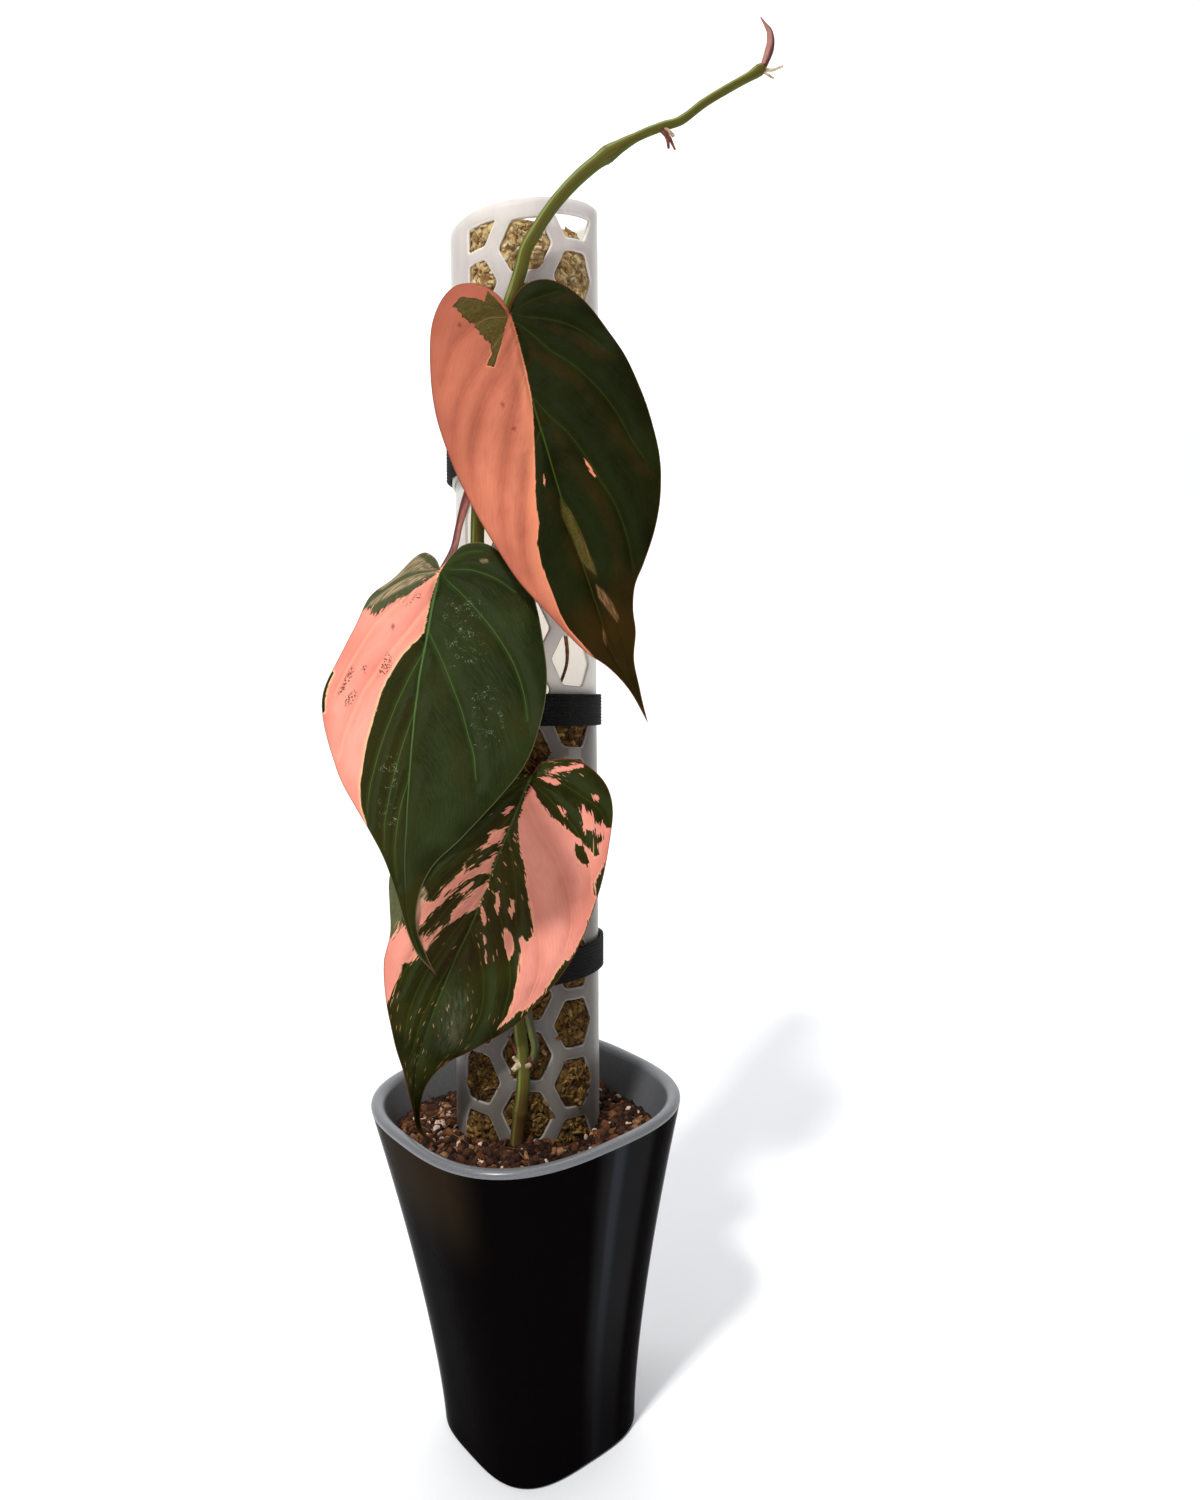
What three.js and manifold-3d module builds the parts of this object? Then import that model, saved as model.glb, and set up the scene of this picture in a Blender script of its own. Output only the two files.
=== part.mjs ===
// A climbing variegated aroid with three heart-shaped leaves, growing up a moss pole in a small glazed pot.
// Millimetres, +Z up. The origin is the middle of the pot's flat base, and the leaves face -Y.
import * as THREE from "three";
import { mergeVertices } from "three/addons/utils/BufferGeometryUtils.js";
import Module from "manifold-3d";

const wasm = await Module();
wasm.setup();

const GAP = 0.3; // clearance between pieces that touch
const FRAME_COUNT = 200; // cross-section frames along a swept curve

// Pot: a rounded square that flares to its rim, turned so that one corner points nearly forward.
const POT_HEIGHT = 127;
const POT_RIM_HALF = 50;
const POT_BASE_HALF = 30.6;
const POT_WALL = 4.5;
const POT_FLOOR = 5;
const POT_FLARE = 1.436; // exponent of the wall's outward curve
const POT_SQUARENESS_RIM = 2.8; // exponent of the rounded-square plan
const POT_SQUARENESS_BASE = 3.3;
const POT_TURN = THREE.MathUtils.degToRad(36.6);
const POT_FOOT_ROUND = 1.6;
const POT_SIDES = 44;
const POT_LEVELS = [8, 24, 48, 74, 98, 116]; // heights at which the flaring wall bends

// Soil: a little higher on the left and mounded in front of the pole.
const SOIL_LEVEL = 113.2;
const SOIL_SLOPE = -0.03;
const SOIL_MOUND = { x: -2, y: -22, height: 4, radius: 15 };
const SOIL_BUMP = 0.6;
const SOIL_CEILING = 124;
const SOIL_RINGS = [0.86, 0.7, 0.52, 0.34, 0.16]; // shares of the way out from the middle
const POLE_HOLE = { below: 8, length: 120, sides: 40 };
const CHIP_COUNT = 34;
const CHIP_SIZE = { least: 2.4, most: 5.6 };
const CHIP_REACH = [30, 43];
const CHIP_SEED = 20;
const LEAF_REST = { x: -33, y: -10, clear: 8 }; // where the lowest leaf's tip reaches the soil

// Moss pole: two rolled sheets with hexagonal windows. It leans back and a little to the right.
const POLE_FOOT = new THREE.Vector3(0.2, 7.9, 108);
const POLE_AXIS = new THREE.Vector3(0.036, 0.09, 1).normalize();
const SHEET_THICKNESS = 1;
const SHEET_OVERLAP = 14; // degrees past half a turn, on each side of the seam
const SEAM_RAMP = [142, 164]; // degrees over which the sheet lifts clear of the layers under it
const SHEET_STEP = 14; // degrees between the facets
const WINDOW_PITCH = 20.7; // between the windows of one column
const WINDOW_STRUT = 4.2;
const WINDOW_WIDTH = 17.5;
const WINDOW_COLUMN = 18; // between the columns, along the sheet
const WINDOW_FLOOR = -6; // no window is cut below this height
const WINDOW_LEAST = 3; // least height of a clipped window
const SOLID_FOOT = 12; // solid band at the foot of a sheet
const CUTTER_REACH = 3; // how far a cutter stands out of the sheet
const SLEEVES = {
  lower: {
    foot: -56, head: 251, radiusFoot: 25.35, radiusHead: 23.7, skew: -0.07, turn: 1,
    firstWindow: 15.7, rows: 11, leftLimit: -54, top: 236, lifts: [0, 1.4],
  },
  upper: {
    foot: 236, head: 319, radiusFoot: 25.05, radiusHead: 25.05, skew: 0.14, turn: 2.6,
    firstWindow: 263, rows: 4, leftLimit: -44, top: 314, lifts: [1.4, 2.8],
  },
};
const MOSS = {
  lower: { foot: -52, head: 157, seed: 3 },
  upper: { foot: 229, head: 311, seed: 8 },
};
const MOSS_BUMP = 0.5;
const MOSS_EDGE_ROUND = 1.2;
const MOSS_CROWN = 0.8;
const MOSS_SIDES = 28;
const MOSS_STEP = 13;

// Straps: woven bands that hold the vine to the pole.
const STRAP_THICKNESS = 1.6;
const STRAP_SIDES = 48;
const STRAPS = {
  strap_lower: { height: 65, width: 10.8, tilt: 4.5 },
  strap_middle: { height: 153.5, width: 10.8, tilt: -1 },
  strap_top: { height: 238.5, width: 10.6, tilt: 2 },
};

// Vine: it climbs the front of the pole, then arches clear of it to the right.
const VINE_CLEARANCE = 0.35;
const VINE_HOLE = 2.75;
const VINE_THICKEST = 2.5; // radius that the straps leave room for
const VINE_SIDES = 8;
const VINE_STEPS = 66;
const VINE_FOOT_SHARES = [0.02, 0.045, 0.07]; // stretch of the stem that stands in the soil
const VINE_FOOT_STEPS = 10;
const VINE_FOOT_SIDES = 12;
const VINE_ON_POLE = [
  [-6.5, -14], [-6, 9], [-1.5, 30], [-3.6, 46], [-7.6, 66], [-11.5, 90], [-17, 107], [-21, 127],
  [-26, 157], [-31, 183], [-34, 208], [-29.5, 229], [-25.5, 246], [-19, 261], [-12.5, 275],
]; // degrees round the pole, height up it
const VINE_FREE = [
  [6.7, 2.8, 393.1], [8.4, 3.2, 397.7], [10.6, 3.3, 403.7], [12.5, 3.5, 409.8], [15, 3.6, 413.8],
  [18.4, 3.5, 418.6], [23.3, 3.1, 424.4], [30.6, 2.9, 431.2], [38.7, 2.7, 436.9], [48.3, 2.5, 442],
  [56.9, 2.7, 445.2], [62.7, 3, 446.9], [70.6, 4.3, 452.5], [78.5, 5.7, 457.2], [86.5, 7.2, 461.7],
  [90, 7.9, 464],
];
const VINE_RADII = [
  [0, 2.2], [0.3, 2.35], [0.72, 2.3], [0.8, 2.05], [0.865, 2.3], [0.885, 1.45], [0.95, 1.35], [1, 1.45],
]; // share of the stem's length, radius
const VINE_NODE_SWELL = 0.33;
const VINE_NODE_LENGTH = 2.6;
const VINE_NODES = [0.078, 0.3, 0.5, 0.574, 0.86, 0.995]; // share of the stem's length

// Root stubs, dried scraps and the old sheath at the vine's nodes, fused to it.
const STUB_SIDES = 5;
const STUB_STEPS = 4;
const STUBS = [
  { radii: [0.95, 0.55], points: [[0.9, -17, 145.9], [-1.5, -19.2, 146.6], [-2.9, -20.8, 147]] },
  { radii: [0.9, 0.5], points: [[1, -17, 145.6], [1.7, -19.4, 145.4], [2.2, -21, 144.6]] },
  { radii: [1.1, 0.35], points: [[0.6, -17.4, 147], [-1.5, -18.2, 150.5], [-3.6, -17.8, 155.2]] },
  { radii: [0.6, 0.5], points: [[56.9, 2.4, 445], [59, 1.6, 443.4], [60.5, 1.3, 441.7]] },
  { radii: [0.95, 0.35], points: [[56.5, 2.4, 444.6], [58.2, 1.4, 441.7], [58.7, 1, 438.1]] },
  { radii: [0.85, 0.3], points: [[57, 2.5, 444.6], [59.2, 1.5, 441], [60.7, 0.9, 437.6]] },
  { radii: [0.6, 0.35], points: [[89.4, 7.7, 463.6], [92.7, 7.2, 463], [96.4, 7.2, 464.1]] },
  { radii: [0.5, 0.3], points: [[89.4, 7.7, 463.4], [91.4, 7, 461.6], [93.4, 6.8, 460.3]] },
];

// Leaf stalks: points from the stem to the back of the blade.
const STALK_SIDES = 6;
const STALKS = {
  petiole_top: {
    radii: [1.7, 1.25], steps: 16,
    points: [[0.3, 1.65, 358], [3.4, -0.9, 361.5], [6.1, -2.7, 369], [7.1, -3.2, 379], [7, -3.05, 387]],
  },
  petiole_middle: {
    radii: [1.7, 1.15], steps: 20,
    points: [
      [-9, 0.7, 334.6], [-10.6, 0.2, 331], [-12.9, -1.6, 323.5], [-14.8, -4, 316.2], [-18.8, -6.95, 308.9],
    ],
  },
  petiole_lower: {
    radii: [1.4, 1.2], steps: 22,
    points: [
      [4.1, -18.4, 146.8], [5, -19, 151], [4, -19.6, 158], [2.6, -20, 170], [2.3, -19.9, 184],
      [3.6, -18.4, 210], [6.4, -16.8, 230], [7.5, -16.6, 241.9],
    ],
  },
};

// Leaf blades. x is across and y along the blade, from the stalk to the tip.
const BLADE_THICKNESS = 0.8;
const BLADE_HALF_WIDTH = 36;
const BLADE_ROWS = 24;
const BLADE_COLUMNS = 5;
const FAN_SHARE = 0.12; // share of the margin whose rows all start at the stalk
const FAN_POWER = 1.25;
const VALLEY_WIDTH = 7; // how far from the midrib the blade has risen out of its valley
const LOBE_LENGTH = 20;
const LEAVES = {
  leaf_top: {
    stalk: [6.8, -4.7, 388.6], along: [0.285, -0.122, -0.951], facing: [0.077, -0.986, 0.149],
    arch: 5, tipRise: -3, valley: 1.6, droop: 6, lobeDroop: 3,
    midrib: [
      [0, 0], [-0.9, 14], [-2.5, 27.5], [-3.3, 44], [-4.1, 63], [-4.3, 80], [-4.1, 100], [-4.1, 111],
      [-0.8, 125], [0.4, 136.8],
    ],
    left: [
      [0, 0], [-1.2, -5.3], [-4.6, -9.9], [-9, -12.4], [-13.6, -13.2], [-18.7, -10.8], [-24.4, -3.8],
      [-29, 7.9], [-32.2, 22], [-32.7, 38], [-31.3, 52.3], [-28.6, 67], [-25.1, 80.4], [-19.5, 93.4],
      [-12.6, 107.7], [-6.4, 115.7], [-2.3, 124.6], [0.4, 136.8],
    ],
    right: [
      [0, 0], [2.2, -3.5], [5.9, -6.6], [10.9, -7.6], [16.1, -6.2], [21.3, -1.6], [26.4, 8.1], [30.6, 22],
      [32.1, 40], [31.2, 53.5], [27.2, 67.6], [21.1, 79.1], [13.8, 88.5], [9.5, 93.6], [6.6, 100.5],
      [5.2, 107.5], [2, 115.7], [1, 125], [0.4, 136.8],
    ],
  },
  leaf_middle: {
    stalk: [-19, -8.5, 310.2], along: [-0.045, -0.154, -0.987], facing: [-0.118, -0.98, 0.158],
    arch: 4, tipRise: -2, valley: 1.6, droop: 5, lobeDroop: 3,
    midrib: [
      [0, 0], [-2.1, 12.1], [-4, 25], [-5.9, 37.8], [-7.8, 58.5], [-9.4, 82.3], [-10.1, 98.3], [-9, 112.8],
      [-5.1, 124.9], [-0.5, 131],
    ],
    left: [
      [0, 0], [-1.3, -2.9], [-4.4, -4.9], [-7.4, -3.8], [-15.5, 3.5], [-22.8, 9.2], [-27.7, 18.9],
      [-34.4, 30.8], [-38.8, 42.4], [-37.1, 53.8], [-33, 65], [-27.3, 75.6], [-20.8, 86], [-15.5, 96.2],
      [-10.6, 112.2], [-6.3, 123.2], [-0.5, 131],
    ],
    right: [
      [0, 0], [2.4, -2.5], [7.5, -7.2], [14, -7.9], [19.4, -5], [26.5, 2.3], [31, 11.9], [33.4, 23.2],
      [34.8, 35], [32.9, 50.3], [28.3, 63], [19.7, 74.1], [8.6, 86.2], [-1.3, 95.7], [-5.6, 105.3],
      [-6.8, 116], [-4.1, 125.2], [-0.5, 131],
    ],
  },
  leaf_lower: {
    stalk: [7.8, -18.3, 243.4], along: [-0.338, 0.038, -0.94], facing: [-0.024, -0.999, -0.035],
    arch: 9, tipRise: -2, valley: 1.4, droop: 4, lobeDroop: 3,
    midrib: [
      [0, 0], [-1.2, 12], [-2.7, 30.5], [-3.9, 50], [-5.7, 64], [-7.2, 83.7], [-7.3, 101], [-6.1, 111],
      [-3.4, 122], [0.4, 130.2], [7, 133.2],
    ],
    left: [
      [0, 0], [-4, -2.3], [-11.5, -2.7], [-19.7, 3.7], [-26, 15.3], [-30.9, 29.6], [-33.8, 43.5],
      [-31, 53.4], [-28.2, 62], [-27.3, 72.5], [-22.7, 85.9], [-16.2, 98.9], [-10.1, 110.4], [-4.4, 122],
      [-0.6, 130.2], [3, 133], [7, 133.2],
    ],
    right: [
      [0, 0], [1.4, -4.3], [6.4, -7.6], [12.6, -9.2], [18.6, -7.6], [24.2, -3.8], [28.3, 2.6], [30.4, 12],
      [32.2, 27], [32, 41], [30.2, 54.3], [25.7, 67.3], [19.8, 79], [9.3, 92.3], [2.2, 100.7],
      [-1.6, 108.6], [-2.3, 116], [0.4, 128.5], [3.6, 131.5], [7, 133.2],
    ],
  },
};

// New leaf's sheath at the growing tip.
const SHEATH = {
  points: [
    [90.5, 8.2, 464.7], [92.4, 9.4, 469.3], [93.2, 10.3, 472.6], [93, 11.3, 476.3], [92, 11.8, 478.2],
    [90.4, 12.5, 481],
  ],
  radii: [[0, 1.1], [0.3, 1.45], [0.55, 1.2], [0.75, 0.8], [0.85, 0.5], [1, 0.2]],
};

// Aerial roots inside the pole, across the stretch that has no moss: degrees, height, distance from the axis.
const ROOT_RADII = [[0, 1.1], [0.6, 0.8], [1, 0.5]];
const ROOTS = [
  [[-20, 228.4, 17], [-8, 213, 18], [4, 196, 19.5], [14, 180, 20], [12, 168, 19.5], [16, 157.6, 18]],
  [[-20, 228.2, 17], [6, 216, 17.5], [26, 200, 19], [40, 184, 20], [46, 170, 20], [38, 161, 19]],
  [[-20, 228.4, 17], [-28, 212, 18.5], [-40, 198, 20], [-34, 182, 20], [-22, 172, 19]],
];

// Seeded random numbers from 0 to 1.
function randomSource(seed) {
  let state = seed >>> 0;
  return () => {
    state = (state + 0x6d2b79f5) >>> 0;
    let t = Math.imul(state ^ (state >>> 15), 1 | state);
    t = (t + Math.imul(t ^ (t >>> 7), 61 | t)) ^ t;
    return ((t ^ (t >>> 14)) >>> 0) / 4294967296;
  };
}

// A value read off a list of [place, value] pairs.
function along(table, place) {
  const next = Math.max(1, table.findIndex(([p]) => p >= place));
  const [p0, v0] = table[next - 1];
  const [p1, v1] = table[next];
  return THREE.MathUtils.lerp(v0, v1, THREE.MathUtils.clamp((place - p0) / (p1 - p0), 0, 1));
}

const toVectors = (points) => points.map(([x, y, z]) => new THREE.Vector3(x, y, z));

// A closed geometry from vertices and triangles, with degenerate triangles dropped.
function closedGeometry(vertices, triangles) {
  const flat = triangles.flat().flatMap((i) => vertices[i].toArray());
  const soup = new THREE.BufferGeometry();
  soup.setAttribute("position", new THREE.Float32BufferAttribute(flat, 3));
  const merged = mergeVertices(soup, 1e-3);
  const index = Array.from(merged.index.array);
  const kept = [];
  for (let i = 0; i < index.length; i += 3) {
    const [a, b, c] = index.slice(i, i + 3);
    if (a !== b && b !== c && c !== a) kept.push(a, b, c);
  }
  merged.setIndex(kept);
  return merged;
}

// Joins rings of equally many points into a closed skin. A ring may be a single point, as a cap's middle.
function skin(rings) {
  const vertices = rings.flat();
  const starts = [];
  rings.reduce((sum, ring) => (starts.push(sum), sum + ring.length), 0);
  const triangles = [];
  for (let r = 0; r + 1 < rings.length; r++) {
    const [low, high] = [rings[r], rings[r + 1]];
    const count = Math.max(low.length, high.length);
    for (let s = 0; s < count; s++) {
      const next = (s + 1) % count;
      const a = starts[r] + (s % low.length);
      const b = starts[r] + (next % low.length);
      const c = starts[r + 1] + (next % high.length);
      const d = starts[r + 1] + (s % high.length);
      if (low.length > 1) triangles.push([a, b, c]);
      if (high.length > 1) triangles.push([a, c, d]);
    }
  }
  return closedGeometry(vertices, triangles);
}

function toSolid(geometry) {
  const bare = geometry.clone();
  bare.deleteAttribute("normal");
  bare.deleteAttribute("uv");
  const merged = mergeVertices(bare, 1e-3);
  return new wasm.Manifold(
    new wasm.Mesh({
      numProp: 3,
      vertProperties: new Float32Array(merged.attributes.position.array),
      triVerts: new Uint32Array(merged.index.array),
    }),
  );
}

function toGeometry(solid) {
  const mesh = solid.getMesh();
  const geometry = new THREE.BufferGeometry();
  geometry.setAttribute("position", new THREE.BufferAttribute(mesh.vertProperties, 3));
  geometry.setIndex(new THREE.BufferAttribute(mesh.triVerts, 1));
  return geometry;
}

// The pot's plan: half its width across the flats at a height, and how square it is there.
const potShare = (z) => THREE.MathUtils.clamp(z / POT_HEIGHT, 0, 1);
const potHalf = (z) => POT_BASE_HALF + (POT_RIM_HALF - POT_BASE_HALF) * potShare(z) ** POT_FLARE;
const potSquareness = (z) => THREE.MathUtils.lerp(POT_SQUARENESS_BASE, POT_SQUARENESS_RIM, potShare(z));

function potRing(inset, z) {
  const ring = [];
  const half = potHalf(z) - inset;
  const n = potSquareness(z);
  for (let s = 0; s < POT_SIDES; s++) {
    const angle = (2 * Math.PI * s) / POT_SIDES;
    const reach = half * (Math.abs(Math.cos(angle)) ** n + Math.abs(Math.sin(angle)) ** n) ** (-1 / n);
    ring.push(new THREE.Vector3(
      reach * Math.cos(angle + POT_TURN), reach * Math.sin(angle + POT_TURN), z,
    ));
  }
  return ring;
}

const middle = (z) => [new THREE.Vector3(0, 0, z)];

function potGeometry() {
  const lip = POT_WALL / 2;
  const rings = [middle(0), potRing(POT_FOOT_ROUND, 0), potRing(0, POT_FOOT_ROUND)];
  POT_LEVELS.forEach((z) => rings.push(potRing(0, z)));
  for (let step = 0; step <= 4; step++) {
    const turn = (Math.PI * step) / 4;
    rings.push(potRing(lip * (1 - Math.cos(turn)), POT_HEIGHT - lip + lip * Math.sin(turn)));
  }
  POT_LEVELS.slice(1).reverse().forEach((z) => rings.push(potRing(POT_WALL, z)));
  rings.push(potRing(POT_WALL + 3, POT_FLOOR), middle(POT_FLOOR));
  return skin(rings);
}

// The soil's surface, without its bumps.
function soilSurface(x, y) {
  const { x: mx, y: my, height, radius } = SOIL_MOUND;
  const mound = height * Math.exp(-((x - mx) ** 2 + (y - my) ** 2) / radius ** 2);
  return SOIL_LEVEL + SOIL_SLOPE * x + mound;
}

const soilBump = (x, y) =>
  SOIL_BUMP * (Math.sin(0.61 * x + 1.3) * Math.cos(0.53 * y) + 0.6 * Math.sin(0.9 * x - 0.8 * y));

function chip(x, y, size, random) {
  const geometry = new THREE.BoxGeometry(size, size * (0.5 + 0.4 * random()), size * (0.4 + 0.3 * random()));
  geometry.rotateX(0.9 * (random() - 0.5));
  geometry.rotateY(0.9 * (random() - 0.5));
  geometry.rotateZ(2 * Math.PI * random());
  geometry.translate(x, y, soilSurface(x, y) + size * 0.04);
  return toSolid(geometry);
}

function soilGeometry() {
  const wall = POT_WALL + GAP;
  const low = POT_LEVELS.slice(1, -1).map((z) => potRing(wall, z));
  const top = potRing(wall, SOIL_LEVEL).map((p) => p.setZ(soilSurface(p.x, p.y) + soilBump(p.x, p.y)));
  const inner = SOIL_RINGS.map((share) =>
    top.map((p) => {
      const [x, y] = [p.x * share, p.y * share];
      return new THREE.Vector3(x, y, soilSurface(x, y) + soilBump(x, y));
    }),
  );
  const centre = [new THREE.Vector3(0, 0, soilSurface(0, 0))];
  const rings = [middle(POT_FLOOR + GAP), potRing(wall + 3, POT_FLOOR + GAP), ...low, top, ...inner, centre];
  let soil = toSolid(skin(rings));
  const random = randomSource(CHIP_SEED);
  for (let placed = 0; placed < CHIP_COUNT; placed++) {
    const turn = 2 * Math.PI * random();
    const reach = THREE.MathUtils.lerp(...CHIP_REACH, random());
    const size = THREE.MathUtils.lerp(CHIP_SIZE.least, CHIP_SIZE.most, random() ** 1.6);
    const [x, y] = [reach * Math.cos(turn), reach * Math.sin(turn)];
    const apart = Math.hypot(x - LEAF_REST.x, y - LEAF_REST.y);
    if (apart > LEAF_REST.clear) soil = soil.add(chip(x, y, size, random));
  }
  const inside = toSolid(skin([
    middle(POT_FLOOR + GAP), potRing(wall + 3, POT_FLOOR + GAP), ...low,
    potRing(wall, POT_LEVELS.at(-1)), potRing(wall, SOIL_CEILING), middle(SOIL_CEILING),
  ]));
  soil = soil.intersect(inside);
  const hole = SLEEVES.lower.radiusFoot + SLEEVES.lower.lifts[1] + SHEET_THICKNESS / 2 + GAP;
  const foot = polePoint(0, SLEEVES.lower.foot - POLE_HOLE.below, 0);
  soil = soil.subtract(toSolid(poleColumn(foot, hole, POLE_HOLE.length, POLE_HOLE.sides)));
  const vineHole = taperedTube(vineFootCurve(), () => VINE_HOLE, VINE_FOOT_STEPS, VINE_FOOT_SIDES);
  soil = soil.subtract(toSolid(vineHole));
  return toGeometry(largestBody(soil));
}

function largestBody(solid) {
  return solid.decompose().reduce((best, body) => (body.volume() > best.volume() ? body : best));
}

// A point beside the pole: degrees round it from the front, height up its axis, and distance from the axis.
function polePoint(degrees, height, radius) {
  const right = new THREE.Vector3(1, 0, 0);
  right.addScaledVector(POLE_AXIS, -right.dot(POLE_AXIS)).normalize();
  const back = new THREE.Vector3().crossVectors(POLE_AXIS, right);
  const turn = THREE.MathUtils.degToRad(degrees);
  return POLE_FOOT.clone()
    .addScaledVector(POLE_AXIS, height)
    .addScaledVector(right, radius * Math.sin(turn))
    .addScaledVector(back, -radius * Math.cos(turn));
}

// A plain column along the pole's axis.
function poleColumn(foot, radius, length, sides) {
  const geometry = new THREE.CylinderGeometry(radius, radius, length, sides);
  geometry.translate(0, length / 2, 0);
  const tilt = new THREE.Quaternion().setFromUnitVectors(new THREE.Vector3(0, 1, 0), POLE_AXIS);
  geometry.applyQuaternion(tilt);
  geometry.translate(foot.x, foot.y, foot.z);
  return geometry;
}

function sleeveRadius(sleeve, height) {
  const share = THREE.MathUtils.clamp(height / SLEEVES.lower.head, 0, 1);
  return THREE.MathUtils.lerp(sleeve.radiusFoot, sleeve.radiusHead, share);
}

// The rolled sheet's middle surface. Past the seam it lies on its own other end and on the sleeve inside it.
function sheetPoint(sleeve, degrees, height, offset) {
  const side = degrees < 0 ? 0 : 1;
  const lift = sleeve.lifts[side] * THREE.MathUtils.smoothstep(Math.abs(degrees), ...SEAM_RAMP);
  const radius = sleeveRadius(sleeve, height) + lift + offset;
  const rise = sleeve.skew * THREE.MathUtils.degToRad(degrees) * sleeve.radiusFoot;
  return polePoint(degrees, height + rise, radius);
}

// Keeps the part of a convex outline on one side of a limit along an axis, 0 for x and 1 for y.
function clipOutline(outline, axis, limit, side) {
  const kept = [];
  outline.forEach((p, i) => {
    const q = outline[(i + 1) % outline.length];
    const [dp, dq] = [side * (p[axis] - limit), side * (q[axis] - limit)];
    if (dp >= 0) kept.push(p);
    if (dp * dq < 0) {
      const t = dp / (dp - dq);
      kept.push([p[0] + t * (q[0] - p[0]), p[1] + t * (q[1] - p[1])]);
    }
  });
  return kept;
}

// The middle of a ring, as the single point that closes a cap.
const centreOf = (ring) => {
  const sum = ring.reduce((total, p) => total.add(p), new THREE.Vector3());
  return [sum.divideScalar(ring.length)];
};

// One hexagonal window as a cutter that follows the sheet: its outline is in arc millimetres and height.
function windowCutter(sleeve, outline) {
  const radius = sleeve.radiusFoot;
  const ring = (offset) =>
    outline.map(([arc, height]) => {
      const degrees = sleeve.turn + THREE.MathUtils.radToDeg(arc / radius);
      return sheetPoint(sleeve, degrees, height, offset);
    });
  const [near, far] = [ring(-CUTTER_REACH), ring(CUTTER_REACH)];
  return toSolid(skin([centreOf(near), near, far, centreOf(far)]));
}

function windowOutlines(sleeve) {
  const half = (WINDOW_PITCH - WINDOW_STRUT) / 2;
  const outlines = [];
  for (const column of [-1, 0, 1]) {
    for (let row = -1; row < sleeve.rows; row++) {
      const x = column * WINDOW_COLUMN;
      const y = sleeve.firstWindow + WINDOW_PITCH * (row + (column ? 0.5 : 0));
      const w = WINDOW_WIDTH / 2;
      let outline = [[x - w, y], [x - w / 2, y - half], [x + w / 2, y - half],
        [x + w, y], [x + w / 2, y + half], [x - w / 2, y + half]];
      const leftArc = THREE.MathUtils.degToRad(sleeve.leftLimit - sleeve.turn) * sleeve.radiusFoot;
      outline = clipOutline(outline, 0, leftArc, 1);
      outline = clipOutline(outline, 1, sleeve.top, -1);
      outline = clipOutline(outline, 1, Math.max(sleeve.foot + SOLID_FOOT, WINDOW_FLOOR), 1);
      const heights = outline.map(([, height]) => height);
      const tall = Math.max(...heights) - Math.min(...heights);
      if (outline.length > 2 && tall > WINDOW_LEAST) outlines.push(outline);
    }
  }
  return outlines;
}

function sleeveGeometry(sleeve) {
  const half = SHEET_THICKNESS / 2;
  const reach = 180 + SHEET_OVERLAP;
  const stations = Math.round((2 * reach) / SHEET_STEP);
  const rings = [];
  for (let s = 0; s <= stations; s++) {
    const degrees = -reach + (2 * reach * s) / stations;
    const corner = (height, offset) => sheetPoint(sleeve, degrees, height, offset);
    rings.push([
      corner(sleeve.foot, -half), corner(sleeve.head, -half),
      corner(sleeve.head, half), corner(sleeve.foot, half),
    ]);
  }
  let sheet = toSolid(skin([centreOf(rings[0]), ...rings, centreOf(rings.at(-1))]));
  windowOutlines(sleeve).forEach((outline) => {
    sheet = sheet.subtract(windowCutter(sleeve, outline));
  });
  return toGeometry(largestBody(sheet));
}

// The moss fills whichever sleeve is innermost at a height.
function mossRadius(height) {
  const sleeve = height < SLEEVES.lower.head + MOSS_STEP + 1 ? SLEEVES.lower : SLEEVES.upper;
  const flats = Math.cos(THREE.MathUtils.degToRad(SHEET_STEP / 2));
  return sleeveRadius(sleeve, height) * flats - SHEET_THICKNESS / 2 - GAP;
}

function mossGeometry({ foot, head, seed }) {
  const random = randomSource(seed);
  const levels = Math.ceil((head - foot) / MOSS_STEP);
  const rings = [[polePoint(0, foot, 0)]];
  for (let level = 0; level <= levels; level++) {
    const height = THREE.MathUtils.lerp(foot, head, level / levels);
    const edge = level === 0 || level === levels ? MOSS_EDGE_ROUND : 0;
    const ring = [];
    for (let s = 0; s < MOSS_SIDES; s++) {
      ring.push(polePoint((360 * s) / MOSS_SIDES, height, mossRadius(height) - edge - MOSS_BUMP * random()));
    }
    rings.push(ring);
  }
  rings.push([polePoint(0, head + MOSS_CROWN, 0)]);
  return skin(rings);
}

// The closed path of a strap: the outline round the pole and the vine beside it, pushed out by an offset.
function strapPath(height, offset) {
  const sleeve = height > SLEEVES.upper.foot ? SLEEVES.upper : SLEEVES.lower;
  const pole = sleeveRadius(sleeve, height) + SHEET_THICKNESS / 2 + GAP;
  const angle = THREE.MathUtils.degToRad(along(VINE_ON_POLE.map(([a, h]) => [h, a]), height));
  const vine = vineReach(height);
  const circles = [
    { x: 0, y: 0, r: pole },
    { x: 0, y: sleeve.lifts[1] + 0.1, r: pole },
    { x: vine * Math.sin(angle), y: -vine * Math.cos(angle), r: VINE_THICKEST + GAP },
  ];
  const points = [];
  for (let s = 0; s < STRAP_SIDES; s++) {
    const turn = (2 * Math.PI * s) / STRAP_SIDES;
    const [nx, ny] = [Math.cos(turn), Math.sin(turn)];
    const best = circles.reduce((a, b) =>
      (a.x * nx + a.y * ny + a.r > b.x * nx + b.y * ny + b.r ? a : b));
    points.push([best.x + (best.r + offset) * nx, best.y + (best.r + offset) * ny]);
  }
  return points;
}

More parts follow.
